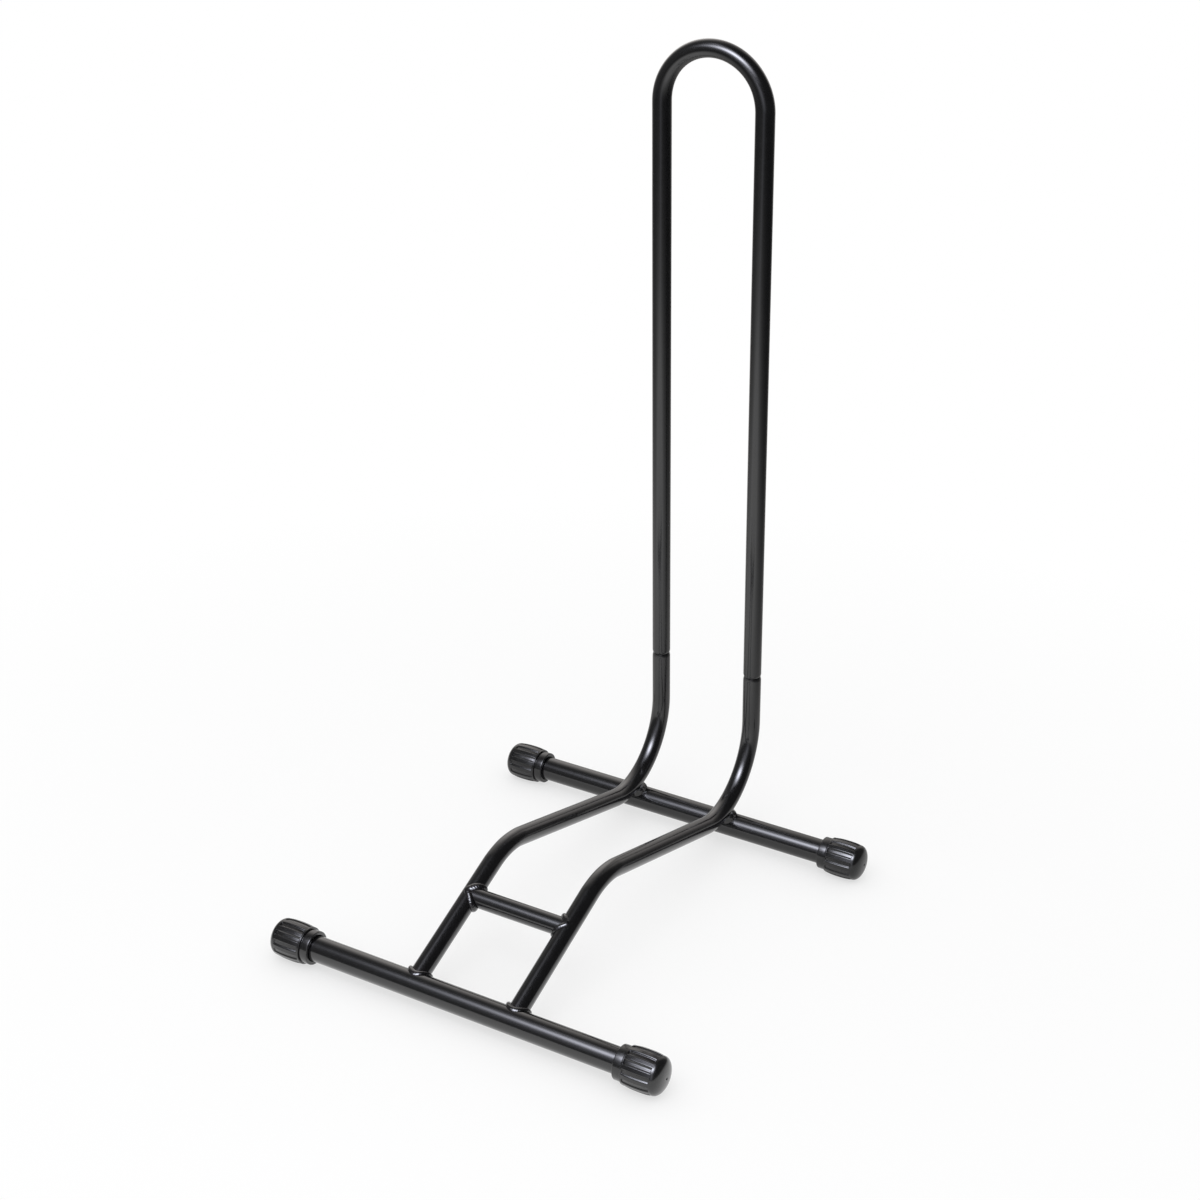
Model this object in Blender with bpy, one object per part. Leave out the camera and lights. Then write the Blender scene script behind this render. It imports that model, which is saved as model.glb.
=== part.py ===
"""Floor stand that holds one bicycle wheel upright: a welded tube base on four rubber feet, and a hoop.

Two cross bars carry a pair of bent side tubes, which a short brace ties together. Each side tube ends in
a spigot, and the legs of the hoop slip over the two spigots. Run it with
blender --background --python part.py.

Metres, +Z up, with the cross bars along X. The base is laid out in its side view, where Y counts from
the centre line of the front bar and Z from the floor. Then the whole stand moves along Y, so that its
origin is on the floor under its middle.
"""

import math
from collections import namedtuple

import bmesh
import bpy
from mathutils import Matrix, Vector

# Tube stock
TUBE_OUTER = 0.0190
TUBE_WALL = 0.0015
BAR_OUTER = 0.0254
BAR_WALL = 0.0015
BEND_RADIUS = 0.079
# A bent tube loses this many times its diameter over its bend radius, in the plane of the bend.
BEND_FLATTENING = 0.23

# Base, with heights from the centre line of the bars
BAR_LENGTH = 0.422
BAR_SPACING = 0.423
TUBE_SPACING = 0.110
FRONT_AIM_HEIGHT = 0.0017
PEAK_FORWARD = 0.159
PEAK_HEIGHT = 0.0750
REAR_SEAT_ANGLE = math.radians(16.8)
BRACE_FORWARD = 0.0967
LEG_LENGTH = 0.0552
LEAN = math.radians(3.26)

# Hoop and the spigots that carry it
HOOP_HEIGHT = 0.654
SPIGOT_WALL = 0.0012
SPIGOT_STANDING = 0.040
SPIGOT_SUNK = 0.035
SPIGOT_CHAMFER = 0.0008
END_ROUND_DEPTH = 0.0011
END_ROUND_LENGTH = 0.0034

# Rubber foot, from its mouth to its closed end, with walls measured from the bore
COLLAR_LENGTH = 0.0082
COLLAR_WALL = 0.0038
COLLAR_ROUND = 0.0011
GROOVE_WIDTH = 0.0006
GROOVE_DEPTH = 0.0007
SHOULDER_LENGTH = 0.0014
SHOULDER_WALL = 0.0055
SHOULDER_BEVEL = 0.0006
BARREL_LENGTH = 0.0286
BARREL_WALL = 0.0066
BARREL_FLAT = 0.010
DOME_LENGTH = 0.0087
END_WALL = 0.0055
DIMPLE_RADIUS = 0.0017
DIMPLE_DEPTH = 0.0009
FLUTES = 12
COLUMNS_PER_FLUTE = 2
COLUMNS_PER_LAND = 1
FLUTE_SLOPE = 0.0005
FLUTE_DEPTH = 0.0011

# Weld beads
FRONT_BEAD_ON_BAR = 0.0050
FRONT_BEAD_ON_TUBE = 0.0036
BRACE_BEAD_ON_TUBE = 0.0052
BRACE_BEAD_ON_BRACE = 0.0034
REAR_BEAD_LENGTH = 0.018
REAR_BEAD_ROOT_ANGLE = math.radians(24.0)
REAR_BEAD_TOE_ANGLE = math.radians(70.0)
REAR_BEAD_FLARE = 0.6
REAR_BEAD_END_FULLNESS = 0.2
BEAD_CROWN = 0.0010

# Clearance between pieces that touch, and how far a cutter runs past what it cuts
GAP = 0.0003
OVERRUN = 0.010

# Facets
TUBE_SIDES = 20
BAR_SIDES = 24
CUTTER_SIDES = 48
ARCH_STEPS = 18
HEEL_STEPS = 16
PEAK_STEPS = 6
BEAD_STEPS = 24
REAR_BEAD_STEPS = 10

TUBE_RADIUS = TUBE_OUTER / 2
TUBE_BORE_RADIUS = TUBE_RADIUS - TUBE_WALL
BAR_RADIUS = BAR_OUTER / 2
FOOT_BORE_RADIUS = BAR_RADIUS + GAP
FOOT_LENGTH = COLLAR_LENGTH + GROOVE_WIDTH + SHOULDER_LENGTH + BARREL_LENGTH + DOME_LENGTH
FOOT_COLUMNS = FLUTES * (COLUMNS_PER_LAND + COLUMNS_PER_FLUTE)
HALF_LAND = math.pi * COLUMNS_PER_LAND / FOOT_COLUMNS
# The foot stands on the flat of its lowest land, this far under the centre line of the bar.
AXLE_HEIGHT = (FOOT_BORE_RADIUS + BARREL_WALL) * math.cos(HALF_LAND)

COATED = {"colour": (0.012, 0.012, 0.013), "roughness": 0.34, "metallic": 0.0}
BARE_STEEL = {"colour": (0.42, 0.42, 0.43), "roughness": 0.38, "metallic": 1.0}
RUBBER = {"colour": (0.016, 0.016, 0.017), "roughness": 0.52, "metallic": 0.0}

ACROSS = Vector((1.0, 0.0, 0.0))
BACKWARD = Vector((0.0, 1.0, 0.0))
UP = Vector((0.0, 0.0, 1.0))

Station = namedtuple("Station", "centre along radius squeeze", defaults=(1.0,))
Cylinder = namedtuple("Cylinder", "point axis radius")


def side_direction(angle):
    """The direction that climbs at this angle from +Y, in the side view."""
    return BACKWARD * math.cos(angle) + UP * math.sin(angle)


def squeeze_of(bend_radius):
    """The share of its height that a bent tube keeps in the plane of the bend."""
    return 1 - BEND_FLATTENING * TUBE_OUTER / bend_radius


# Distance from the centre of the heel bend to the centre line of the bar that the heel rests on.
HEEL_TO_BAR = BEND_RADIUS + TUBE_RADIUS * squeeze_of(BEND_RADIUS) + GAP + BAR_RADIUS

Layout = namedtuple("Layout", "start corner rise_angle slope_angle leg_angle heel_centre joint")


def lay_out_side_tube():
    """The centre line of a side tube: its start, the peak's corner, the heel's centre and the leg's end.

    The heel bend rests on the rear bar, which fixes its centre. The slope is the line through the peak's
    corner that touches the heel's circle from below.
    """
    start = UP * (AXLE_HEIGHT + FRONT_AIM_HEIGHT)
    corner = BACKWARD * PEAK_FORWARD + UP * (AXLE_HEIGHT + PEAK_HEIGHT)
    rise = corner - start
    rear_bar = BACKWARD * BAR_SPACING + UP * AXLE_HEIGHT
    heel_centre = rear_bar + side_direction(math.pi / 2 + REAR_SEAT_ANGLE) * HEEL_TO_BAR
    to_heel = heel_centre - corner
    slope_angle = math.atan2(to_heel.z, to_heel.y) - math.asin(BEND_RADIUS / to_heel.length)
    leg_angle = math.pi / 2 + LEAN
    heel_end = heel_centre + side_direction(leg_angle - math.pi / 2) * BEND_RADIUS
    return Layout(
        start=start,
        corner=corner,
        rise_angle=math.atan2(rise.z, rise.y),
        slope_angle=slope_angle,
        leg_angle=leg_angle,
        heel_centre=heel_centre,
        joint=heel_end + side_direction(leg_angle) * LEG_LENGTH,
    )


def bend(centre, first, axis, turn, steps, bend_radius, tube_radius):
    """Stations round a bend that starts in the direction first and turns by this angle about axis.

    The tube flattens over the first quarter of the bend and rounds out again over the last.
    """
    stations = []
    for step in range(steps + 1):
        share = step / steps
        along = Matrix.Rotation(turn * share, 3, axis) @ first
        outward = along.cross(axis) * math.copysign(1.0, turn)
        flattened = min(1.0, 4 * share, 4 * (1 - share))
        squeeze = 1 - (1 - squeeze_of(bend_radius)) * flattened
        stations.append(Station(centre + outward * bend_radius, along, tube_radius, squeeze))
    return stations


def rounded_tip(tip, along, inward):
    """Stations from the tip of a tube inwards, where its outside rounds off."""
    stations = []
    for share in (0.0, 0.3, 1.0):
        drop = END_ROUND_DEPTH * (1 - math.sqrt(1 - (1 - share) ** 2))
        stations.append(Station(tip + inward * END_ROUND_LENGTH * share, along, TUBE_RADIUS - drop))
    return stations


def extended(stations):
    """The same path with both ends moved out, for a cutter."""
    first = stations[0]
    last = stations[-1]
    return [
        first._replace(centre=first.centre - first.along * OVERRUN),
        *stations[1:-1],
        last._replace(centre=last.centre + last.along * OVERRUN),
    ]


def ring_place(station, normal):
    """The matrix that carries a unit circle to its station on a path that bends square to normal."""
    in_bend = normal.cross(station.along) * station.radius * station.squeeze
    place = Matrix((in_bend, normal * station.radius, station.along)).transposed().to_4x4()
    place.translation = station.centre
    return place


def linked(name, mesh):
    made = bpy.data.objects.new(name, mesh)
    bpy.context.scene.collection.objects.link(made)
    return made


def finished(name, shape, look, smooth_angle=35.0):
    """The object made from a bmesh, shaded smooth, with a material of its own."""
    bmesh.ops.recalc_face_normals(shape, faces=shape.faces)
    mesh = bpy.data.meshes.new(name)
    shape.to_mesh(mesh)
    shape.free()
    mesh.shade_smooth()
    mesh.set_sharp_from_angle(angle=math.radians(smooth_angle))
    material = bpy.data.materials.new(name + "_finish")
    material.use_nodes = True
    shader = material.node_tree.nodes["Principled BSDF"]
    shader.inputs["Base Color"].default_value = (*look["colour"], 1.0)
    shader.inputs["Roughness"].default_value = look["roughness"]
    shader.inputs["Metallic"].default_value = look["metallic"]
    mesh.materials.append(material)
    return linked(name, mesh)


def rod(name, stations, normal, sides, look):
    """A solid rod: a ring extruded from station to station, and closed at both ends."""
    places = [ring_place(station, normal) for station in stations]
    shape = bmesh.new()
    bmesh.ops.create_circle(shape, cap_ends=True, segments=sides, radius=1.0, matrix=places[0])
    ring = shape.edges[:]
    for before, after in zip(places, places[1:]):
        grown = bmesh.ops.extrude_edge_only(shape, edges=ring)["geom"]
        ring = [piece for piece in grown if isinstance(piece, bmesh.types.BMEdge)]
        corners = [piece for piece in grown if isinstance(piece, bmesh.types.BMVert)]
        bmesh.ops.transform(shape, matrix=after @ before.inverted(), verts=corners)
    bmesh.ops.contextual_create(shape, geom=ring)
    return finished(name, shape, look)


def cutting_rod(name, stations, normal, sides=CUTTER_SIDES):
    """A rod that only cuts other pieces."""
    cutter = rod(name, stations, normal, sides, BARE_STEEL)
    cutter.hide_render = True
    cutter.display_type = "WIRE"
    return cutter


def cut(piece, cutter):
    boolean = piece.modifiers.new(cutter.name, "BOOLEAN")
    boolean.operation = "DIFFERENCE"
    boolean.solver = "EXACT"
    boolean.object = cutter


def bore_out(piece, stations, normal, sides):
    """Cuts the bore of a tube along these stations. The cutter stays with its tube."""
    cutter = cutting_rod(piece.name + "_bore", extended(stations), normal, sides)
    cutter.parent = piece
    cut(piece, cutter)


def side_tube_path(layout, radius, peak_steps, heel_steps):
    """The side tube from the front bar over its peak, down the slope and round the heel."""
    rise = side_direction(layout.rise_angle)
    slope = side_direction(layout.slope_angle)
    peak_turn = layout.slope_angle - layout.rise_angle
    heel_turn = layout.leg_angle - layout.slope_angle
    peak_start = layout.corner - rise * BEND_RADIUS * math.tan(-peak_turn / 2)
    peak_centre = peak_start + rise.cross(ACROSS) * BEND_RADIUS
    return [
        Station(layout.start, rise, radius),
        *bend(peak_centre, rise, ACROSS, peak_turn, peak_steps, BEND_RADIUS, radius),
        *bend(layout.heel_centre, slope, ACROSS, heel_turn, heel_steps, BEND_RADIUS, radius),
    ]


def make_side_tube(layout, side_name, side, bar_clearance):
    """A side tube, coped to the front bar and rounded at its upper end."""
    leg = side_direction(layout.leg_angle)
    path = side_tube_path(layout, TUBE_RADIUS, PEAK_STEPS, HEEL_STEPS)
    path += reversed(rounded_tip(layout.joint, leg, -leg))
    tube = rod("side_tube_" + side_name, path, ACROSS, TUBE_SIDES, COATED)
    bore = side_tube_path(layout, TUBE_BORE_RADIUS, PEAK_STEPS // 2, HEEL_STEPS // 2)
    bore.append(Station(layout.joint, leg, TUBE_BORE_RADIUS))
    bore_out(tube, bore, ACROSS, TUBE_SIDES)
    cut(tube, bar_clearance)
    tube.location.x = side * TUBE_SPACING / 2
    return tube


def straight(length, radius, along=ACROSS):
    """The two stations of a straight rod, centred on the origin."""
    return [Station(along * end * length / 2, along, radius) for end in (-1, 1)]


def make_bar(name, forward):
    """A cross bar, open at both ends, which the feet close."""
    bar = rod(name, straight(BAR_LENGTH, BAR_RADIUS), UP, BAR_SIDES, COATED)
    bore_out(bar, straight(BAR_LENGTH, BAR_RADIUS - BAR_WALL), UP, BAR_SIDES)
    bar.location = (0.0, forward, AXLE_HEIGHT)
    return bar


def make_bar_clearance():
    """Cuts the saddle into both side tubes where they meet the front bar."""
    length = TUBE_SPACING + 2 * BAR_OUTER
    clearance = cutting_rod("front_bar_clearance", straight(length, BAR_RADIUS + GAP), UP)
    clearance.location.z = AXLE_HEIGHT
    return clearance


def brace_centre(layout):
    """Where the centre line of the brace crosses the middle plane."""
    rise = side_direction(layout.rise_angle)
    return layout.start + rise * (BRACE_FORWARD / rise.y)


def make_brace(layout):
    """The short tube between the side tubes, coped to both, and the two rods that cut its saddles."""
    rise = side_direction(layout.rise_angle)
    centre = brace_centre(layout)
    brace = rod("cross_brace", straight(TUBE_SPACING, TUBE_RADIUS), rise, TUBE_SIDES, COATED)
    bore_out(brace, straight(TUBE_SPACING, TUBE_BORE_RADIUS), rise, TUBE_SIDES)
    brace.location = centre
    cutters = []
    for side_name, side in (("left", -1), ("right", 1)):
        stations = straight(2 * TUBE_OUTER, TUBE_RADIUS + GAP, rise)
        cutter = cutting_rod("side_tube_clearance_" + side_name, stations, ACROSS)
        cutter.location = centre + ACROSS * side * TUBE_SPACING / 2
        cut(brace, cutter)
        cutters.append(cutter)
    return brace, cutters


def make_spigot(layout, side_name, side):
    """The sleeve inside the end of a side tube, which a leg of the hoop slips over."""
    radius = TUBE_BORE_RADIUS - GAP
    stations = [
        Station(UP * -SPIGOT_SUNK, UP, radius),
        Station(UP * (SPIGOT_STANDING - SPIGOT_CHAMFER), UP, radius),
        Station(UP * SPIGOT_STANDING, UP, radius - SPIGOT_CHAMFER),
    ]
    spigot = rod("spigot_" + side_name, stations, ACROSS, TUBE_SIDES, BARE_STEEL)
    bore = [station._replace(radius=radius - SPIGOT_WALL) for station in (stations[0], stations[-1])]
    bore_out(spigot, bore, ACROSS, TUBE_SIDES)
    spigot.location = layout.joint + ACROSS * side * TUBE_SPACING / 2
    spigot.rotation_euler = (LEAN, 0.0, 0.0)
    return spigot


def make_hoop():
    """The inverted U, upright in its own frame, whose origin is between the mouths of its two legs."""
    half = TUBE_SPACING / 2
    arch_centre = UP * (HOOP_HEIGHT - half)
    left = UP * GAP - ACROSS * half
    right = UP * GAP + ACROSS * half
    path = rounded_tip(left, UP, UP)
    path += bend(arch_centre, UP, BACKWARD, math.pi, ARCH_STEPS, half, TUBE_RADIUS)
    path += reversed(rounded_tip(right, -UP, UP))
    hoop = rod("hoop", path, BACKWARD, TUBE_SIDES, COATED)
    bore = [
        Station(left, UP, TUBE_BORE_RADIUS),
        *bend(arch_centre, UP, BACKWARD, math.pi, ARCH_STEPS // 2, half, TUBE_BORE_RADIUS),
        Station(right, -UP, TUBE_BORE_RADIUS),
    ]
    bore_out(hoop, bore, BACKWARD, TUBE_SIDES)
    return hoop


def foot_profile():
    """The turned section of a foot, from its bore round to the dimple: (distance from the mouth, radius)."""
    bore = FOOT_BORE_RADIUS
    collar = bore + COLLAR_WALL
    shoulder = bore + SHOULDER_WALL
    barrel = bore + BARREL_WALL
    groove_end = COLLAR_LENGTH + GROOVE_WIDTH
    barrel_start = groove_end + SHOULDER_LENGTH
    barrel_end = barrel_start + BARREL_LENGTH
    middle = (barrel_start + barrel_end) / 2
    profile = [
        (FOOT_LENGTH - END_WALL, 0.0),
        (FOOT_LENGTH - END_WALL, bore),
        (COLLAR_ROUND, bore),
        (0.0, bore + COLLAR_ROUND),
        (0.0, collar - COLLAR_ROUND),
        (COLLAR_ROUND * 0.3, collar - COLLAR_ROUND * 0.3),
        (COLLAR_ROUND, collar),
        (COLLAR_LENGTH, collar),
        (COLLAR_LENGTH, collar - GROOVE_DEPTH),
        (groove_end, collar - GROOVE_DEPTH),
        (groove_end, shoulder - SHOULDER_BEVEL),
        (groove_end + SHOULDER_BEVEL, shoulder),
        (barrel_start, shoulder),
        (middle - BARREL_FLAT / 2, barrel),
        (middle + BARREL_FLAT / 2, barrel),
        (barrel_end, shoulder),
    ]
    for angle in (28.0, 52.0, 72.0):
        turn = math.radians(angle)
        profile.append((barrel_end + DOME_LENGTH * math.sin(turn), shoulder * math.cos(turn) ** 0.8))
    profile.append((FOOT_LENGTH, DIMPLE_RADIUS))
    profile.append((FOOT_LENGTH - DIMPLE_DEPTH, 0.0))
    return profile


def in_flute(face):
    """Whether this face of the turned foot lies in a flute and not on a land, of which one faces down."""
    centre = face.calc_center_median()
    start = FOOT_LENGTH - DOME_LENGTH - BARREL_LENGTH
    in_bore = math.hypot(centre.y, centre.z) < FOOT_BORE_RADIUS + GAP
    if in_bore or not start < centre.x < start + BARREL_LENGTH:
        return False
    turn = math.atan2(centre.y, -centre.z) + HALF_LAND
    column = round(turn / (2 * math.pi) * FOOT_COLUMNS - 0.5)
    return column % (COLUMNS_PER_LAND + COLUMNS_PER_FLUTE) >= COLUMNS_PER_LAND


def make_foot(name, side, forward):
    """One push-on rubber foot: a turned body with a blind bore, and closed flutes sunk into its barrel."""
    shape = bmesh.new()
    start = Matrix.Rotation(HALF_LAND, 3, ACROSS)
    corners = [shape.verts.new(start @ Vector((along, 0.0, -radius))) for along, radius in foot_profile()]
    edges = [shape.edges.new(pair) for pair in zip(corners, corners[1:])]
    bmesh.ops.spin(
        shape,
        geom=corners + edges,
        cent=(0.0, 0.0, 0.0),
        axis=ACROSS,
        angle=2 * math.pi,
        steps=FOOT_COLUMNS,
        use_merge=True,
    )
    bmesh.ops.remove_doubles(shape, verts=shape.verts, dist=1e-6)
    bmesh.ops.recalc_face_normals(shape, faces=shape.faces)
    flutes = [face for face in shape.faces if in_flute(face)]
    bmesh.ops.inset_region(
        shape,
        faces=flutes,
        thickness=FLUTE_SLOPE,
        depth=-FLUTE_DEPTH,
        use_boundary=True,
        use_even_offset=True,
    )
    foot = finished(name, shape, RUBBER, 25.0)
    mouth = BAR_LENGTH / 2 + GAP + END_WALL - FOOT_LENGTH
    foot.location = (side * mouth, forward, AXLE_HEIGHT)
    foot.rotation_euler.z = 0.0 if side > 0 else math.pi
    return foot


def leaves_cylinder(point, along, cylinder):
    """Where a line from this point comes out of the cylinder."""
    from_axis = point - cylinder.point
    from_axis -= cylinder.axis * from_axis.dot(cylinder.axis)
    across = along - cylinder.axis * along.dot(cylinder.axis)
    a = across.length_squared
    b = from_axis.dot(across)
    c = from_axis.length_squared - cylinder.radius**2
    return point + along * ((math.sqrt(max(b * b - a * c, 0.0)) - b) / a)


def outward_from(point, cylinder):
    from_axis = point - cylinder.point
    return (from_axis - cylinder.axis * from_axis.dot(cylinder.axis)).normalized()


def walk_over(point, heading, length, cylinder):
    """Where a walk of this length over the cylinder ends, kept to one angle with its axis."""
    outward = outward_from(point, cylinder)
    turn = cylinder.axis.cross(outward).dot(heading) * length / cylinder.radius
    on_axis = cylinder.axis * (point - cylinder.point).dot(cylinder.axis)
    shift = cylinder.axis * heading.dot(cylinder.axis) * length
    rim = Matrix.Rotation(turn, 3, cylinder.axis) @ (outward * cylinder.radius)
    return cylinder.point + on_axis + shift + rim


def loft(name, sections, closed):
    """Skins a row of sections with the same number of corners. A closed row runs into itself."""
    shape = bmesh.new()
    rings = [[shape.verts.new(corner) for corner in section] for section in sections]
    following = rings[1:] + rings[:1] if closed else rings[1:]
    for ring, after in zip(rings, following):
        for corner in range(len(ring)):
            beyond = (corner + 1) % len(ring)
            shape.faces.new((ring[corner], ring[beyond], after[beyond], after[corner]))
    if not closed:
        shape.faces.new(rings[0])
        shape.faces.new(rings[-1])
    return finished(name, shape, COATED, 50.0)


def ring_bead(name, start, along, cylinder, on_cylinder, on_tube):
    """A fillet weld all round the end of a tube that meets a cylinder.

    start is on the tube's centre line and along runs up the tube. The root of each section is on the seam
    of the two surfaces. One toe is square to the seam over the cylinder, and the other is up the tube.
    """
    beside = along.cross(cylinder.axis).normalized()
    radials = []
    for step in range(BEAD_STEPS):
        turn = 2 * math.pi * step / BEAD_STEPS
        radials.append(cylinder.axis * math.cos(turn) + beside * math.sin(turn))
    radials = [(radial - along * radial.dot(along)).normalized() for radial in radials]
    roots = [leaves_cylinder(start + radial * (TUBE_RADIUS + GAP), along, cylinder) for radial in radials]
    sections = []
    for step, (radial, root) in enumerate(zip(radials, roots)):
        seam = roots[(step + 1) % BEAD_STEPS] - roots[step - 1]
        outward = outward_from(root, cylinder)
        heading = seam.cross(outward).normalized()
        under = [walk_over(root, heading, on_cylinder * share, cylinder) for share in (0.33, 0.67, 1.0)]
        tube_toe = root + along * on_tube
        bisector = (outward + radial).normalized()
        crown = []
        for share in (0.22, 0.5, 0.78):
            chord = under[-1].lerp(tube_toe, share)
            sunk = max((root - chord).dot(bisector), 0.0)
            crown.append(chord + bisector * (sunk + BEAD_CROWN * 4 * share * (1 - share)))
        sections.append([root, *under, *crown, tube_toe])
    return loft(name, sections, closed=True)


def make_front_bead(layout, side_name, side):
    """Where a side tube butts against the front bar."""
    bar = Cylinder(UP * AXLE_HEIGHT, ACROSS, BAR_RADIUS + GAP)
    rise = side_direction(layout.rise_angle)
    bead = ring_bead(
        "weld_front_" + side_name,
        layout.start,
        rise,
        bar,
        FRONT_BEAD_ON_BAR,
        FRONT_BEAD_ON_TUBE,
    )
    bead.location.x = side * TUBE_SPACING / 2
    return bead


def make_brace_bead(layout, side_name, side):
    """Where an end of the brace butts against a side tube."""
    side_tube = Cylinder(Vector(), side_direction(layout.rise_angle), TUBE_RADIUS + GAP)
    bead = ring_bead(
        "weld_brace_" + side_name,
        Vector(),
        -side * ACROSS,
        side_tube,
        BRACE_BEAD_ON_TUBE,
        BRACE_BEAD_ON_BRACE,
    )
    bead.location = brace_centre(layout) + ACROSS * side * TUBE_SPACING / 2
    return bead


def rear_bead_section(offset, fullness):
    """A section of the bead between heel and rear bar, at this angle from where they touch.

    Its plane holds the centre of the heel and the bar's direction. Corners are given as (distance along
    the bar from the tube's middle, distance from the centre of the heel).
    """
    slant = HEEL_TO_BAR * math.sin(offset)
    bar_level = HEEL_TO_BAR * math.cos(offset) - math.sqrt((BAR_RADIUS + GAP) ** 2 - slant**2)
    toe_angle = REAR_BEAD_ROOT_ANGLE + (REAR_BEAD_TOE_ANGLE - REAR_BEAD_ROOT_ANGLE) * fullness
    half_wide = TUBE_RADIUS + GAP
    half_high = TUBE_RADIUS * squeeze_of(BEND_RADIUS) + GAP
    corners = []
    for share in (0.0, 0.33, 0.67, 1.0):
        turn = REAR_BEAD_ROOT_ANGLE + (toe_angle - REAR_BEAD_ROOT_ANGLE) * share
        corners.append((half_wide * math.sin(turn), BEND_RADIUS + half_high * math.cos(turn)))
    toe, toe_level = corners[-1]
    flare = toe + (BEND_RADIUS + half_high - toe_level) * REAR_BEAD_FLARE
    corners.append(((toe + flare) / 2 + BEAD_CROWN * fullness, (toe_level + bar_level) / 2))
    corners.append((flare, bar_level))
    corners.append((corners[0][0], bar_level))
    return corners


def make_rear_bead(layout, side_name, side, face_name, face):
    """One of the two beads beside the heel of a side tube, where it rests on the rear bar."""
    span = REAR_BEAD_LENGTH / (BEND_RADIUS + TUBE_RADIUS)
    sections = []
    for step in range(REAR_BEAD_STEPS + 1):
        share = 2 * step / REAR_BEAD_STEPS - 1
        offset = span / 2 * share
        fullness = math.sqrt(1 - (1 - REAR_BEAD_END_FULLNESS**2) * share**2)
        outward = side_direction(REAR_SEAT_ANGLE + offset - math.pi / 2)
        corners = rear_bead_section(offset, fullness)
        sections.append([outward * level + ACROSS * face * width for width, level in corners])
    bead = loft("weld_rear_" + side_name + "_" + face_name, sections, closed=False)
    bead.location = layout.heel_centre + ACROSS * side * TUBE_SPACING / 2
    return bead


def add_empty(name):
    empty = bpy.data.objects.new(name, None)
    bpy.context.scene.collection.objects.link(empty)
    return empty


def world_reach(pieces):
    """Smallest and largest Y of the finished pieces."""
    bpy.context.view_layer.update()
    graph = bpy.context.evaluated_depsgraph_get()
    reach = [
        (piece.matrix_world @ vertex.co).y
        for piece in pieces
        for vertex in piece.evaluated_get(graph).data.vertices
    ]
    return min(reach), max(reach)


def main():
    for old in list(bpy.data.objects):
        bpy.data.objects.remove(old, do_unlink=True)
    layout = lay_out_side_tube()
    bar_clearance = make_bar_clearance()
    brace, brace_cutters = make_brace(layout)
    base = [make_bar("front_bar", 0.0), make_bar("rear_bar", BAR_SPACING), brace]
    for side_name, side in (("left", -1), ("right", 1)):
        base.append(make_side_tube(layout, side_name, side, bar_clearance))
        base.append(make_spigot(layout, side_name, side))
        base.append(make_foot("foot_front_" + side_name, side, 0.0))
        base.append(make_foot("foot_rear_" + side_name, side, BAR_SPACING))
        base.append(make_front_bead(layout, side_name, side))
        base.append(make_brace_bead(layout, side_name, side))
        base.append(make_rear_bead(layout, side_name, side, "outer", side))
        base.append(make_rear_bead(layout, side_name, side, "inner", -side))
    hoop = make_hoop()

    stand = add_empty("stand_origin")
    # The hoop slides off along this empty's Z axis, which leans with the legs.
    slide = add_empty("hoop_slide")
    slide.location = layout.joint
    slide.rotation_euler = (LEAN, 0.0, 0.0)
    hoop.parent = slide
    for piece in [slide, bar_clearance, *brace_cutters, *base]:
        piece.parent = stand
    nearest, farthest = world_reach([*base, hoop])
    stand.location.y = -(nearest + farthest) / 2
    bpy.context.view_layer.update()
    print("joint at", *(round(value, 5) for value in slide.matrix_world.translation))


if __name__ == "__main__":
    main()
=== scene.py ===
"""A floor stand for one bicycle wheel: bent black tubes on two cross bars with rubber feet, and a hoop.

Every piece is a surface worked out from the lines of its tube, bar or foot, in metres, with +Z up and the
cross bars along X. The side view's directions are angles that climb from +Y.
"""

import math
from collections import namedtuple

import bmesh
import bpy
import numpy as np
from bpy.props import FloatProperty, FloatVectorProperty, IntProperty, PointerProperty
from mathutils import Matrix, Vector


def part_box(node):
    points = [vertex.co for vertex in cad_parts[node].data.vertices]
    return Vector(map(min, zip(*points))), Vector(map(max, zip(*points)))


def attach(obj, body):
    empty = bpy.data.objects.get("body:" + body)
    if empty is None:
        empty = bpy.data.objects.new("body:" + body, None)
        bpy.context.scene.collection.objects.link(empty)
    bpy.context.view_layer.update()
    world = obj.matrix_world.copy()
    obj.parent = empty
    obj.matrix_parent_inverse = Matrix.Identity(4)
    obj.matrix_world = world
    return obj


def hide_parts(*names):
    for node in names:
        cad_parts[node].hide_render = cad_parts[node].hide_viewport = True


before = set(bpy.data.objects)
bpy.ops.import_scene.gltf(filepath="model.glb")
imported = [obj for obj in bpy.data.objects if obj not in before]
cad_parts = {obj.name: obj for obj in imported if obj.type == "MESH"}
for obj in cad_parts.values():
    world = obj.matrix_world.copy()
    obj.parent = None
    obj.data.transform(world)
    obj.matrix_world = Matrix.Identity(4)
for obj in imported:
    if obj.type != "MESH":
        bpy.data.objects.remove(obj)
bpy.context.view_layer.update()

bl_info = {
    "name": "Wheel Stand",
    "version": (1, 0, 0),
    "blender": (4, 5, 0),
    "location": "3D View > Sidebar > Stand",
    "description": "Makes the pieces and the studio of a floor stand for one bicycle wheel",
    "category": "Add Mesh",
}

ACROSS = np.array((1.0, 0.0, 0.0))
BACKWARD = np.array((0.0, 1.0, 0.0))
UP = np.array((0.0, 0.0, 1.0))
SIDES = {"left": -1, "right": 1}

# Rings along the surfaces, and points round them
TUBE_SIDES = 72
BAR_SIDES = 96
PEAK_ROWS = 26
HEEL_ROWS = 60
DRAWN_IN_ROWS = 12
ARCH_ROWS = 90
BEAD_COLUMNS = 288

# How lumpy a bead is: most of them, and the brace's left one
EVEN, LUMPY = 0.7, 1.6

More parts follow.
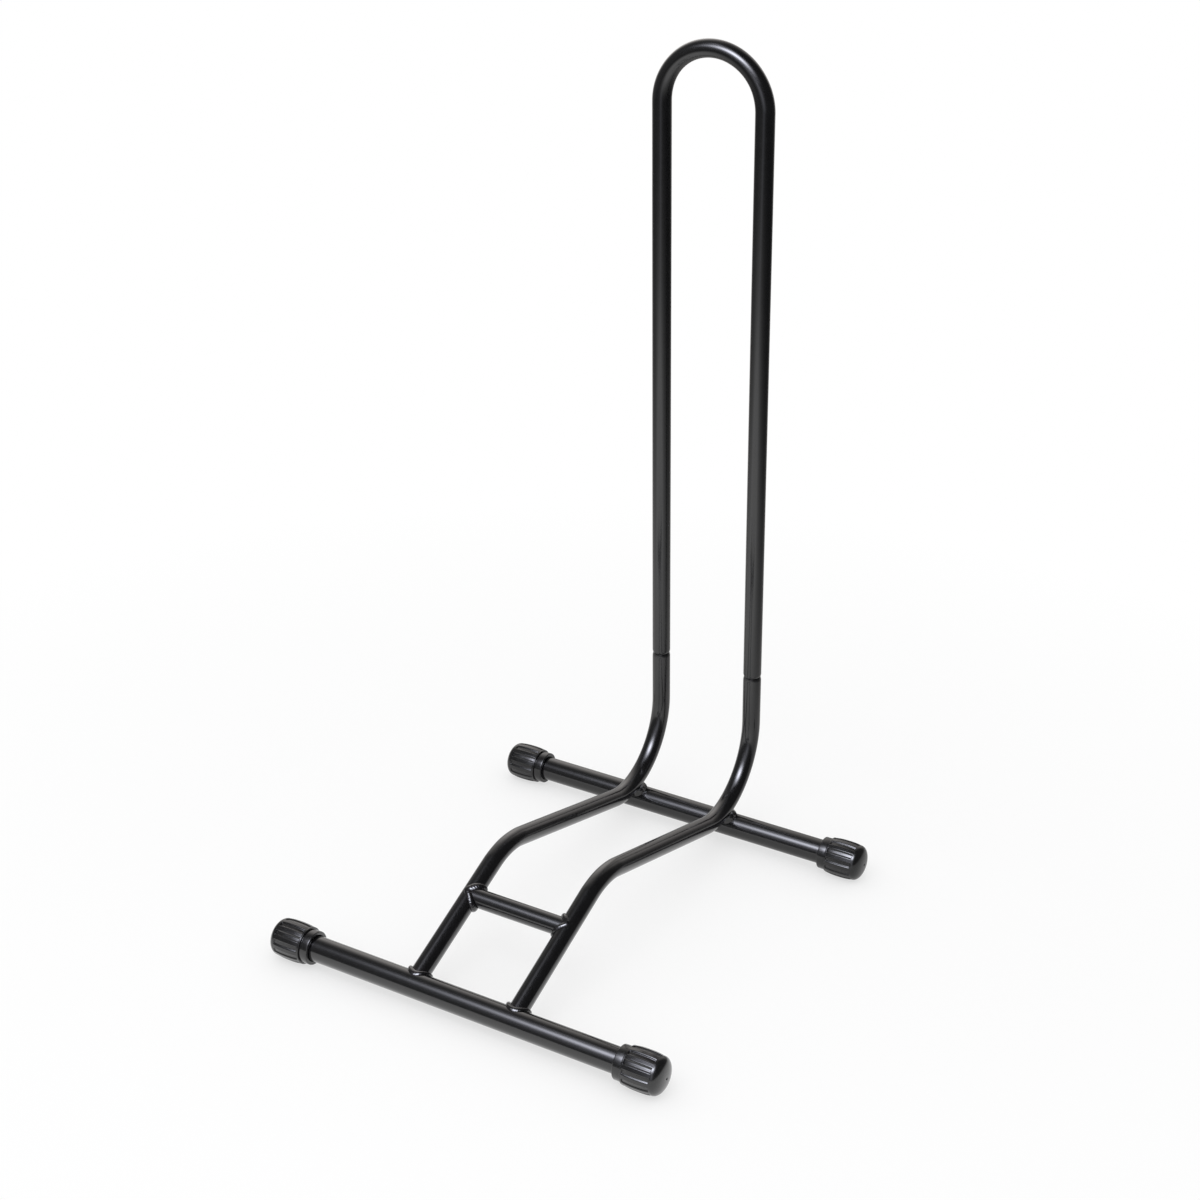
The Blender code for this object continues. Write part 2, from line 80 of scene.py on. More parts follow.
Path = namedtuple("Path", "centre along squeeze")
Cylinder = namedtuple("Cylinder", "point axis radius")
Layout = namedtuple(
    "Layout", "start rise slope leg rise_angle slope_angle leg_angle peak_start heel_centre joint"
)
Pattern = namedtuple("Pattern", "cells detail low high")
Glow = namedtuple("Glow", "azimuth elevation width height level colour")

COOL, WARM = (0.95, 0.97, 1.10), (1.04, 0.99, 0.96)
GLOWS = (
    Glow(175.0, 56.0, 15.5, 12.5, 15.0, COOL),
    Glow(-156.0, 56.0, 13.0, 12.0, 3.6, COOL),
    Glow(-130.0, 73.0, 8.0, 8.0, 1.1, COOL),
    Glow(-175.0, 30.0, 18.0, 12.0, 0.6, COOL),
    Glow(162.0, 15.0, 17.0, 18.0, 0.8, COOL),
    Glow(-37.0, 30.0, 23.0, 28.0, 1.05, WARM),
    Glow(6.0, 26.0, 13.0, 32.0, 0.5, WARM),
)


def packed_middle(node):
    """The middle of a packed node's box, as an array."""
    low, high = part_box(node)
    return (np.array(low) + np.array(high)) / 2


def packed_size(node):
    """The lengths of the sides of a packed node's box."""
    low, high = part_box(node)
    return np.array(high) - np.array(low)


# Sizes and colours

def length_property(name, description, default, **limits):
    """A size in metres."""
    return FloatProperty(
        name=name, description=description, default=default, precision=5, unit="LENGTH", **limits
    )


def colour_property(name, description, default):
    """A colour in three channels from 0 to 1."""
    return FloatVectorProperty(
        name=name, description=description, default=default, subtype="COLOR", min=0.0, max=1.0
    )


class TubeSizes(bpy.types.PropertyGroup):
    """Sizes of the tube stock."""

    tube_outer: length_property(
        "Tube diameter", "Outside diameter of the side tubes, the brace and the hoop", 0.0190, min=0.005
    )
    tube_wall: length_property(
        "Tube wall", "Wall of the side tubes, the brace and the hoop", 0.0015, min=0.0005
    )
    bar_outer: length_property("Bar diameter", "Outside diameter of both cross bars", 0.0254, min=0.005)
    bar_wall: length_property("Bar wall", "Wall of both cross bars", 0.0015, min=0.0005)
    bend_radius: length_property(
        "Bend radius", "Radius of the peak and heel bends, to the centre of the tube", 0.079, min=0.03
    )
    flattening: FloatProperty(
        name="Flattening", description="What a bent tube loses of its height, in diameters over bend radius",
        default=0.23, min=0.0, max=1.0,
    )
    clearance: length_property("Clearance", "Space between pieces that touch", 0.0003, min=0.0)
    drawn_in: length_property(
        "Drawn in", "How far the upper end of a side tube is drawn in", 0.0009, min=0.0
    )
    drawn_in_length: length_property("Drawn in length", "Length of the drawn-in end", 0.0042, min=0.0001)
    end_round: length_property(
        "Rounding of ends", "How far the outside of the hoop closes in at its open ends", 0.0011, min=0.0
    )


class BaseSizes(bpy.types.PropertyGroup):
    """Sizes of the welded base. Heights count from the centre of the front bar."""

    tube_spacing: length_property(
        "Tube spacing", "Distance between the centres of the two side tubes", 0.110, min=0.03
    )
    aim_height: length_property(
        "Start height", "Height at which a side tube aims over the centre of the front bar", 0.0017
    )
    peak_forward: length_property(
        "Peak distance", "Distance from the front bar to the corner of the peak bend", 0.159
    )
    peak_height: length_property("Peak height", "Height of the corner of the peak bend", 0.0750)
    rear_seat_angle: FloatProperty(
        name="Rear seat", description="Where the heel rests on the rear bar, from its top towards the front",
        default=math.radians(16.8), subtype="ANGLE",
    )
    brace_forward: length_property("Brace distance", "Distance from the front bar to the brace", 0.0967)
    leg_length: length_property("Leg length", "Straight end of a side tube above its heel", 0.0552)
    lean: FloatProperty(
        name="Lean", description="How far the legs and the hoop lean back",
        default=math.radians(3.26), subtype="ANGLE",
    )


class HoopSizes(bpy.types.PropertyGroup):
    """Sizes of the hoop and of the spigots that carry it."""

    height: length_property(
        "Hoop height", "Height of the hoop, to the centre of the tube in its arch", 0.654
    )
    spigot_wall: length_property("Spigot wall", "Wall of a spigot", 0.0012)
    spigot_standing: length_property("Spigot above", "Length of a spigot above its side tube", 0.040)
    spigot_sunk: length_property("Spigot below", "Length of a spigot inside its side tube", 0.035)
    spigot_chamfer: length_property("Spigot chamfer", "Chamfer at the top of a spigot", 0.0008)


class FootSizes(bpy.types.PropertyGroup):
    """Sizes of a rubber foot, with walls measured from its bore."""

    collar_length: length_property("Collar length", "Smooth ring at the mouth", 0.0082)
    collar_wall: length_property("Collar wall", "Wall of the collar", 0.0038)
    groove_width: length_property("Groove width", "Groove behind the collar", 0.0006)
    groove_depth: length_property("Groove depth", "Depth of that groove", 0.0007)
    shoulder_length: length_property("Shoulder length", "Step from the groove to the flutes", 0.0014)
    shoulder_wall: length_property("Shoulder wall", "Wall at both ends of the barrel", 0.0055)
    barrel_length: length_property("Barrel length", "Fluted part", 0.0286)
    barrel_wall: length_property("Barrel wall", "Wall at the fullest part of the barrel", 0.0066)
    dome_length: length_property("Dome length", "Rounded closed end", 0.0087)
    end_wall: length_property(
        "End wall", "Rubber between the end of the bar and the end of the foot", 0.0055
    )
    dimple_radius: length_property("Dimple radius", "Moulding mark in the middle of the end", 0.0017)
    dimple_depth: length_property("Dimple depth", "Depth of that mark", 0.0009)
    flutes: IntProperty(name="Flutes", description="Closed flutes round the barrel", default=12, min=3)
    land_share: FloatProperty(
        name="Land share", description="Part of the girth that stands between the flutes",
        default=1 / 3, min=0.1, max=0.9,
    )
    flute_depth: length_property("Flute depth", "Depth of a flute", 0.0013)
    flute_slope: length_property("Flute slope", "Width of a flute's rounded wall", 0.0022)


class WeldSizes(bpy.types.PropertyGroup):
    """Sizes of the weld beads."""

    front_on_bar: length_property("Front bead on bar", "Reach of a front bead over the bar", 0.0032)
    front_on_tube: length_property("Front bead on tube", "Reach of a front bead up the side tube", 0.0030)
    brace_on_tube: length_property("Brace bead on tube", "Reach of a brace bead over the side tube", 0.0037)
    brace_on_brace: length_property("Brace bead on brace", "Reach of a brace bead along the brace", 0.0025)
    rear_length: length_property("Rear bead length", "Length of the beads beside a heel", 0.018)
    crown: length_property("Crown", "How far a bead stands over the straight line between its toes", 0.0012)
    ripple_pitch: length_property("Ripple pitch", "Distance between two ripples of a bead", 0.0021)


class Finishes(bpy.types.PropertyGroup):
    """Colours and gloss of the four finishes."""

    coat_colour: colour_property("Coat", "Black powder coat on the tubes", (0.0034, 0.0034, 0.0040))
    coat_roughness: FloatProperty(
        name="Coat roughness", description="Middle roughness of the powder coat", subtype="FACTOR",
        default=0.20, min=0.0, max=1.0,
    )
    rubber_colour: colour_property("Rubber", "Black rubber of the feet", (0.006, 0.006, 0.0064))
    rubber_roughness: FloatProperty(
        name="Rubber roughness", description="Middle roughness of the rubber", subtype="FACTOR",
        default=0.21, min=0.0, max=1.0,
    )
    steel_colour: colour_property("Spigot steel", "Bare drawn steel of the spigots", (0.42, 0.42, 0.43))


class StageSettings(bpy.types.PropertyGroup):
    """Floor, light and camera."""

    floor_colour: colour_property("Floor", "Pale floor under the stand", (0.93, 0.93, 0.93))
    key_power: FloatProperty(
        name="Key power", description="Power of the soft box over the front", subtype="POWER",
        default=4.5, min=0.0,
    )
    room_level: FloatProperty(
        name="Room level", description="Brightness of the room's light from all round", subtype="FACTOR",
        default=0.94, min=0.0,
    )
    camera_place: FloatVectorProperty(
        name="Camera place", description="Where the camera stands", subtype="TRANSLATION", precision=5,
        default=(0.9362, -1.6038, 1.1883),
    )
    camera_aim: FloatVectorProperty(
        name="Camera aim", description="The direction in which the camera looks", subtype="DIRECTION",
        default=(-0.45678, 0.78696, -0.41479), precision=5,
    )
    camera_top: FloatVectorProperty(
        name="Camera top", description="The direction of the picture's upper edge", subtype="DIRECTION",
        default=(-0.22417, 0.34940, 0.90976), precision=5,
    )
    camera_lens: FloatProperty(
        name="Lens", description="Focal length on a 36 mm sensor, in millimetres", default=64.39, min=10.0,
    )


# Surfaces

def unit(vectors):
    """Each vector over its own length."""
    return vectors / np.linalg.norm(vectors, axis=-1, keepdims=True)


def side_direction(angle):
    """Cosine of the angle along +Y and sine along +Z, for one angle or a whole array of them."""
    angle = np.asarray(angle)[..., None]
    return BACKWARD * np.cos(angle) + UP * np.sin(angle)


def smooth_step(share):
    """3 s^2 - 2 s^3, with s held between 0 and 1."""
    share = np.clip(share, 0.0, 1.0)
    return share * share * (3 - 2 * share)


def turned(vectors, axis, angle):
    """Vectors turned about a unit axis: v cos a + (axis x v) sin a + axis (axis . v)(1 - cos a)."""
    angle = np.asarray(angle)[..., None]
    on_axis = (vectors @ axis)[..., None] * axis
    return vectors * np.cos(angle) + np.cross(axis, vectors) * np.sin(angle) + on_axis * (1 - np.cos(angle))


def bend(centre, first, axis, turn, bend_radius, kept, count):
    """A bend that starts along first and turns about axis, with its centre line on a circle.

    A point is the circle's centre plus the bend radius along the direction square to the path. The tube
    keeps this share of its height in the bend, reached smoothly over its first and last quarters.
    """
    share = np.linspace(0.0, 1.0, count)
    along = turned(np.tile(first, (count, 1)), axis, turn * share)
    outward = np.cross(along, axis) * np.sign(turn)
    flattened = smooth_step(4 * np.minimum(share, 1 - share))
    return Path(centre + outward * bend_radius, along, 1 - (1 - kept) * flattened)


def joined(*runs):
    """One path from several, one after the other."""
    return Path(*(np.concatenate(parts) for parts in zip(*runs)))


def skin(path, normal, radius, sides):
    """Rings along a path: centre + squeezed radius (normal x along) cos p + radius normal sin p."""
    radius = np.broadcast_to(radius, len(path.centre))[:, None, None]
    around = np.linspace(0.0, 2 * math.pi, sides, endpoint=False)[None, :, None]
    in_bend = np.cross(normal, path.along)[:, None, :] * path.squeeze[:, None, None]
    return path.centre[:, None, :] + radius * (in_bend * np.cos(around) + normal * np.sin(around))


def softened(corners, reach, count=6):
    """A section with its corners rounded, each by a parabola.

    Within reach before and after a corner, the section is (1-t)^2 a + 2 t (1-t) corner + t^2 b, where a and
    b lie at that reach on the two lines that meet there. The ends stay where they are.
    """
    corners = np.asarray(corners, dtype=float)
    middle = corners[1:-1]
    reach = np.broadcast_to(reach, len(middle))[:, None]
    before = middle + unit(corners[:-2] - middle) * reach
    after = middle + unit(corners[2:] - middle) * reach
    t = np.linspace(0.0, 1.0, count)[None, :, None]
    curves = before[:, None] * (1 - t) ** 2 + middle[:, None] * 2 * t * (1 - t) + after[:, None] * t**2
    return np.concatenate([corners[:1], curves.reshape(-1, corners.shape[1]), corners[-1:]])


def grid_faces(rows, columns, closed_rows):
    """Corner numbers of the quads between neighbouring rows and columns, as one array.

    The last column is the first one's neighbour, and in closed rows the last row is the first one's.
    """
    row = np.arange(rows if closed_rows else rows - 1)[:, None]
    column = np.arange(columns)[None, :]
    next_row, next_column = (row + 1) % rows, (column + 1) % columns
    corners = [
        row * columns + column, row * columns + next_column,
        next_row * columns + next_column, next_row * columns + column,
    ]
    return np.stack(corners, axis=-1).reshape(-1, 4)


def surface(name, grid, closed_rows, tone=None, sharp_angle=38.0):
    """A mesh object from a grid of points whose columns run into themselves.

    Points that coincide, as in a pole, become one. The faces point outwards: the volume, a sixth of the sum
    of a . (b x c) over the triangles, is made positive. A tone is a colour for each point, with its cover as
    the fourth number, and is kept as the attribute of that name.
    """
    rows, columns = grid.shape[:2]
    points = grid.reshape(-1, 3)
    faces = grid_faces(rows, columns, closed_rows)
    a, b, c, d = (points[faces[:, corner]] for corner in range(4))
    volume = np.einsum("ij,ij->", a, np.cross(b, c)) + np.einsum("ij,ij->", a, np.cross(c, d))
    if volume < 0:
        faces = faces[:, ::-1]
    mesh = bpy.data.meshes.new(name)
    mesh.from_pydata(points, [], faces)
    if tone is not None:
        layer = mesh.attributes.new("tone", "FLOAT_COLOR", "POINT")
        layer.data.foreach_set("color", np.ascontiguousarray(tone, dtype=np.float32).ravel())
    made = bpy.data.objects.new(name, mesh)
    bpy.context.scene.collection.objects.link(made)
    return finish_surface(made, sharp_angle)


def finish_surface(made, sharp_angle):
    """Merges doubled points at poles and marks edges sharper than the angle."""
    shape = bmesh.new()
    shape.from_mesh(made.data)
    bmesh.ops.remove_doubles(shape, verts=shape.verts, dist=1e-7)
    shape.to_mesh(made.data)
    shape.free()
    made.data.shade_smooth()
    made.data.set_sharp_from_angle(angle=math.radians(sharp_angle))
    return made


def placed(made, node, body, material):
    """Gives a piece its body and its finish, and hides the packed node that it stands for."""
    made.data.materials.append(material)
    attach(made, body)
    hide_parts(node)


# Lines of the stand

def kept_height(tubes, bend_radius):
    """Share of its height that a bent tube keeps: 1 - flattening x diameter / bend radius."""
    return 1 - tubes.flattening * tubes.tube_outer / bend_radius


def lay_out(scene):
    """The centre line of a side tube in the plane X = 0.

    It starts over the middle of the front bar and aims at the peak's corner. The heel's circle rests on the
    rear bar. The slope is the line through the corner that touches that circle from below: its angle is the
    direction to the centre, less the arcsine of bend radius over distance.
    """
    tubes, base = scene.stand_tubes, scene.stand_base
    front, rear = packed_middle("front_bar"), packed_middle("rear_bar")
    start = front + UP * base.aim_height
    corner = front + BACKWARD * base.peak_forward + UP * base.peak_height
    rise_angle = math.atan2(*(corner - start)[[2, 1]])
    to_bar = tubes.bend_radius + tubes.tube_outer / 2 * kept_height(tubes, tubes.bend_radius)
    to_bar += tubes.clearance + tubes.bar_outer / 2
    heel_centre = rear + side_direction(math.pi / 2 + base.rear_seat_angle) * to_bar
    to_heel = heel_centre - corner
    distance = float(np.linalg.norm(to_heel))
    slope_angle = math.atan2(to_heel[2], to_heel[1]) - math.asin(tubes.bend_radius / distance)
    leg_angle = math.pi / 2 + base.lean
    rise, slope, leg = side_direction(rise_angle), side_direction(slope_angle), side_direction(leg_angle)
    heel_end = heel_centre + side_direction(leg_angle - math.pi / 2) * tubes.bend_radius
    return Layout(
        start=start, rise=rise, slope=slope, leg=leg,
        rise_angle=rise_angle, slope_angle=slope_angle, leg_angle=leg_angle,
        peak_start=corner - rise * tubes.bend_radius * math.tan((rise_angle - slope_angle) / 2),
        heel_centre=heel_centre,
        joint=heel_end + leg * base.leg_length,
    )


def length_to_leave(points, along, cylinder):
    """How far each point moves along a direction to come out of a cylinder.

    With p and v the parts of point and direction square to the cylinder's axis, it is
    (sqrt((p.v)^2 - v.v (p.p - r^2)) - p.v) / v.v.
    """
    square = np.eye(3) - np.outer(cylinder.axis, cylinder.axis)
    p, v = (points - cylinder.point) @ square, along @ square
    inner = p @ v
    root = np.maximum(inner**2 - (v @ v) * (np.sum(p * p, axis=-1) - cylinder.radius**2), 0.0)
    return (np.sqrt(root) - inner) / (v @ v)


def outward_from(points, cylinder):
    """Unit vectors from the cylinder's axis to the points."""
    square = np.eye(3) - np.outer(cylinder.axis, cylinder.axis)
    return unit((points - cylinder.point) @ square)


def walked(points, heading, length, cylinder):
    """Points moved over a cylinder, each at one angle with its axis.

    The part of the walk along the axis moves the point straight, and the part round it turns the point by
    that length over the radius.
    """
    outward = outward_from(points, cylinder)
    turn = np.sum(np.cross(cylinder.axis, outward) * heading, axis=-1) * length / cylinder.radius
    on_axis = ((points - cylinder.point) @ cylinder.axis)[..., None] * cylinder.axis
    shift = ((heading @ cylinder.axis) * length)[..., None] * cylinder.axis
    return cylinder.point + on_axis + shift + turned(outward * cylinder.radius, cylinder.axis, turn)


def tip_rows(tip, along, inward, outer, rounding, count=7):
    """Rows from the tip of a tube inwards, whose outside rounds off by a quarter of an ellipse.

    With a from 0 to a right angle, the radius is outer - rounding (1 - sin a) and the distance from the
    tip is three times the rounding times (1 - cos a).
    """
    a = np.linspace(0.0, math.pi / 2, count)
    centre = tip + inward * (3 * rounding * (1 - np.cos(a)))[:, None]
    return Path(centre, np.tile(along, (count, 1)), np.ones(count)), outer - rounding * (1 - np.sin(a))


def backward(path):
    """The same path from its last station to its first."""
    return Path(*(part[::-1] for part in path))


def single(point, along):
    """A path of one station."""
    return Path(point[None], along[None], np.ones(1))


def drawn_in_rows(tip, along, inward, outer, drop, length):
    """Rows from the tip of a tube inwards, drawn in towards the tip.

    At the distance s from the tip, the radius is outer - drop (1 - s / length)^1.3.
    """
    share = np.linspace(0.0, 1.0, DRAWN_IN_ROWS)
    centre = tip + inward * (length * share)[:, None]
    path = Path(centre, np.tile(along, (DRAWN_IN_ROWS, 1)), np.ones(DRAWN_IN_ROWS))
    return path, outer - drop * (1 - share) ** 1.3


def tube_wall(outside, outer, inside, inner, normal, sides):
    """The grid of an open tube: rings along its outside, then back along its bore."""
    return np.concatenate([skin(outside, normal, outer, sides), skin(inside, normal, inner, sides)[::-1]])


def side_tube_path(layout, tubes):
    """From the front bar over the peak, down the slope and round the heel."""
    kept = kept_height(tubes, tubes.bend_radius)
    peak_turn = layout.slope_angle - layout.rise_angle
    heel_turn = layout.leg_angle - layout.slope_angle
    peak_centre = layout.peak_start + np.cross(layout.rise, ACROSS) * tubes.bend_radius
    return joined(
        single(layout.start, layout.rise),
        bend(peak_centre, layout.rise, ACROSS, peak_turn, tubes.bend_radius, kept, PEAK_ROWS),
        bend(layout.heel_centre, layout.slope, ACROSS, heel_turn, tubes.bend_radius, kept, HEEL_ROWS),
    )


def coped(rings, along, cylinder):
    """Moves the first ring of a tube along its direction until it leaves a cylinder."""
    rings[0] += length_to_leave(rings[0], along, cylinder)[:, None] * along
    return rings


def side_tube_grid(layout, tubes, side, spacing):
    """Outside and bore of a side tube, each coped to the front bar. The outside is drawn in at the top."""
    bar = Cylinder(packed_middle("front_bar"), ACROSS, tubes.bar_outer / 2 + tubes.clearance)
    radius = tubes.tube_outer / 2
    path = side_tube_path(layout, tubes)
    tip, tip_radius = drawn_in_rows(
        layout.joint, layout.leg, -layout.leg, radius, tubes.drawn_in, tubes.drawn_in_length
    )
    outside = joined(path, backward(tip))
    outer = np.concatenate([np.full(len(path.centre), radius), tip_radius[::-1]])
    inside = joined(path, single(layout.joint, layout.leg))
    rings = coped(skin(outside, ACROSS, outer, TUBE_SIDES), layout.rise, bar)
    bore = coped(skin(inside, ACROSS, radius - tubes.tube_wall, TUBE_SIDES), layout.rise, bar)
    return np.concatenate([rings, bore[::-1]]) + ACROSS * side * spacing / 2


def hoop_grid(layout, tubes, hoop, spacing, lean):
    """The inverted U: two legs and a half circle between them, drawn upright, then leaned back."""
    half, radius = spacing / 2, tubes.tube_outer / 2
    left, right = UP * tubes.clearance - ACROSS * half, UP * tubes.clearance + ACROSS * half
    arch_centre = UP * (hoop.height - half)
    arch = bend(arch_centre, UP, BACKWARD, math.pi, half, kept_height(tubes, half), ARCH_ROWS)
    first, first_radius = tip_rows(left, UP, UP, radius, tubes.end_round)
    last, last_radius = tip_rows(right, -UP, UP, radius, tubes.end_round)
    outside = joined(first, arch, backward(last))
    outer = np.concatenate([first_radius, np.full(len(arch.centre), radius), last_radius[::-1]])
    inside = joined(single(left, UP), arch, single(right, -UP))
    grid = tube_wall(outside, outer, inside, radius - tubes.tube_wall, BACKWARD, TUBE_SIDES)
    return turned(grid, ACROSS, lean) + layout.joint


def bar_grid(tubes, node):
    """A straight tube along X, as long as the packed bar, with its end edges eased by a fifth of its wall."""
    middle, length = packed_middle(node), packed_size(node)[0]
    radius, ease = tubes.bar_outer / 2, tubes.bar_wall / 5
    low, high = middle - ACROSS * length / 2, middle + ACROSS * length / 2
    left, left_radius = tip_rows(low, ACROSS, ACROSS, radius, ease, 4)
    right, right_radius = tip_rows(high, ACROSS, -ACROSS, radius, ease, 4)
    outside = joined(left, backward(right))
    outer = np.concatenate([left_radius, right_radius[::-1]])
    inside = joined(single(low, ACROSS), single(high, ACROSS))
    return tube_wall(outside, outer, inside, radius - tubes.bar_wall, UP, BAR_SIDES)


def brace_middle(layout, base):
    """Where the centre line of the brace crosses the middle plane."""
    return layout.start + layout.rise * (base.brace_forward / layout.rise[1])


def brace_grid(layout, tubes, base):
    """A tube along X whose ends are saddles on the side tubes.

    At the angle p round the brace an end lies at half the spacing less sqrt(R^2 - (r sin p)^2), where R is
    the side tube's radius with its clearance and r the radius of this ring.
    """
    around = np.linspace(0.0, 2 * math.pi, TUBE_SIDES, endpoint=False)
    square = np.cross(ACROSS, layout.rise)
    reach = tubes.tube_outer / 2 + tubes.clearance
    outer, inner = tubes.tube_outer / 2, tubes.tube_outer / 2 - tubes.tube_wall
    rings = []
    for radius, side in ((outer, -1), (outer, 1), (inner, 1), (inner, -1)):
        end = side * (base.tube_spacing / 2 - np.sqrt(reach**2 - (radius * np.sin(around)) ** 2))
        ring = layout.rise * (radius * np.cos(around))[:, None] + square * (radius * np.sin(around))[:, None]
        rings.append(ring + ACROSS * end[:, None])
    return np.stack(rings) + brace_middle(layout, base)


def spigot_grid(layout, tubes, base, hoop, side):
    """A sleeve turned from its section, with a chamfer at the top, in the end of a side tube."""
    outer = tubes.tube_outer / 2 - tubes.tube_wall - tubes.clearance
    inner = outer - hoop.spigot_wall
    chamfer = hoop.spigot_chamfer
    low, high = -hoop.spigot_sunk, hoop.spigot_standing
    ease = 0.0001
    section = softened(
        [(low, inner + ease), (low, outer), (high - chamfer, outer), (high, outer - chamfer),
         (high, inner), (low, inner), (low, inner + ease)], ease, 4,
    )[:-1]
    path = Path(layout.leg * section[:, :1], np.tile(layout.leg, (len(section), 1)), np.ones(len(section)))
    sleeve = skin(path, ACROSS, section[:, 1], TUBE_SIDES)
    return sleeve + layout.joint + ACROSS * side * base.tube_spacing / 2


# Foot

def foot_columns(sizes):
    """Angles round a foot, closer together at the walls of the flutes. The first land faces down.

    They cross half a land, then a flute's wall in tenths, then its floor, and the other half mirrors them.
    """
    period = 2 * math.pi / sizes.flutes
    half_land = period * sizes.land_share / 2
    wall = sizes.flute_slope / (packed_size("foot_front_left")[2] / 2)
    on_land = half_land * np.array((0.0, 0.5, 0.86, 1.0))
    on_wall = half_land + wall * (np.arange(1, 11) / 10)
    on_floor = half_land + (period / 2 - half_land) * 0.8
    local = np.concatenate([on_land, on_wall, [on_floor]])
    one_period = np.concatenate([local, [period / 2], period - local[:0:-1]])
    return (one_period[None, :] + period * np.arange(sizes.flutes)[:, None]).ravel()


def foot_section(sizes, bore, length):
    """The turned section of a foot as (distance from the mouth, radius), from its bore round to the dimple.

    Behind the shoulder the barrel swells from the shoulder's radius to its own as 1 - |x|^2.6, where x runs
    from -1 to 1. Its rows are closer over 3 mm at each end, where the flutes have their end walls. The
    dome's radius is the shoulder's times cos(t)^0.8, at its length times sin(t). The dimple is let in by its
    depth times 1 less the smooth step of the distance over its radius, in rows from 1.5 radii inwards.
    """
    collar, shoulder = bore + sizes.collar_wall, bore + sizes.shoulder_wall
    groove_end = sizes.collar_length + sizes.groove_width
    barrel_start = groove_end + sizes.shoulder_length
    barrel_end = barrel_start + sizes.barrel_length
    inner_end = length - sizes.end_wall
    corners = [
        (inner_end, 0.0), (inner_end, bore), (0.0, bore), (0.0, collar),
        (sizes.collar_length, collar), (sizes.collar_length, collar - sizes.groove_depth),
        (groove_end, collar - sizes.groove_depth), (groove_end, shoulder), (barrel_start, shoulder),
    ]
    rounding = (0.0008, 0.0011, 0.0011, 0.0003, 0.0002, 0.0002, 0.0006)
    turned_part = softened(corners, rounding)[:-1]
    end_zone, end_rows, middle_rows, dome_rows, dimple_rows = 0.0030, 12, 26, 24, 14
    edge = end_zone / sizes.barrel_length
    near = np.linspace(0.0, edge, end_rows)
    share = np.concatenate([near, np.linspace(edge, 1 - edge, middle_rows)[1:-1], 1 - near[::-1]])
    swell = 1 - np.abs(2 * share - 1) ** 2.6
    barrel = shoulder + (sizes.barrel_wall - sizes.shoulder_wall) * swell
    middle_part = np.stack([barrel_start + sizes.barrel_length * share, barrel], axis=-1)
    t = np.linspace(0.0, math.pi / 2, dome_rows)[1:-1]
    dome_part = np.stack([barrel_end + sizes.dome_length * np.sin(t), shoulder * np.cos(t) ** 0.8], axis=-1)
    dimple_reach, dome_stops = 1.5, 1.6
    dome_part = dome_part[dome_part[:, 1] > sizes.dimple_radius * dome_stops]
    dip = np.linspace(dimple_reach, 0.0, dimple_rows)
    depth = sizes.dimple_depth * (1 - smooth_step(dip))
    dimple_part = np.stack([length - depth, sizes.dimple_radius * dip], axis=-1)
    return np.concatenate([turned_part, middle_part, dome_part, dimple_part]), barrel_start


def flute_sink(sizes, along, girth):
    """How deep the flutes are sunk at these places.

    along counts from the middle of a flute's length and girth from the middle of its width. The distance
    inside a rectangle with rounded corners, over the slope's width, is t, and counts 2.4 times at the ends,
    whose walls are steeper. The depth grows as t^2 / 0.65 over the wall's rounded rim, and from there as
    1 - (1 - t)^2 / 0.35 into the floor.
    """
    steeper, rim = 2.4, 0.65
    corner, end_land = 0.0009, 0.0002
    along, half_long = along * steeper, (sizes.barrel_length / 2 - end_land) * steeper
    half_wide = math.pi / sizes.flutes * (1 - sizes.land_share) * packed_size("foot_front_left")[2] / 2
    over_long = np.abs(along) - (half_long - corner)
    over_wide = np.abs(girth) - (half_wide - corner)
    outside = np.hypot(np.maximum(over_long, 0.0), np.maximum(over_wide, 0.0))
    distance = outside + np.minimum(np.maximum(over_long, over_wide), 0.0) - corner
    t = np.clip(-distance / sizes.flute_slope, 0.0, 1.0)
    return sizes.flute_depth * np.where(t < rim, t**2 / rim, 1 - (1 - t) ** 2 / (1 - rim))


def foot_grid(scene, node, side):
    """A turned foot with a blind bore, with closed flutes sunk into its barrel.

    The radius is the section's. On the barrel, a land is cut flat, as cos(half land) / cos(angle from the
    land's middle), and a flute takes its depth away.
    """
    sizes = scene.stand_feet
    bore = scene.stand_tubes.bar_outer / 2 + scene.stand_tubes.clearance
    low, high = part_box(node)
    section, barrel_start = foot_section(sizes, bore, high.x - low.x)
    turn = foot_columns(sizes)
    period = 2 * math.pi / sizes.flutes
    half_land = period * sizes.land_share / 2
    from_land = (turn + period / 2) % period - period / 2
    from_flute = period / 2 - np.abs(from_land)
    along = section[:, 0] - barrel_start - sizes.barrel_length / 2
    part_of_wall = 0.9
    outside = section[:, 1] > bore + sizes.shoulder_wall * part_of_wall
    on_barrel = (np.abs(along) <= sizes.barrel_length / 2) & outside
    girth = from_flute[None, :] * packed_size(node)[2] / 2
    sink = flute_sink(sizes, along[:, None], girth) * on_barrel[:, None]
    flat = np.where(np.abs(from_land) < half_land, math.cos(half_land) / np.cos(from_land), 1.0)
    radius = section[:, 1:] * (1 + (flat - 1)[None, :] * on_barrel[:, None]) - sink
    around = BACKWARD * np.sin(turn)[:, None] - UP * np.cos(turn)[:, None]
    mouth_x = low.x if side > 0 else high.x
    mouth = np.array((mouth_x, packed_middle(node)[1], packed_middle("front_bar")[2]))
    return mouth + ACROSS * (side * section[:, :1, None]) + around[None] * radius[:, :, None]


# Welds

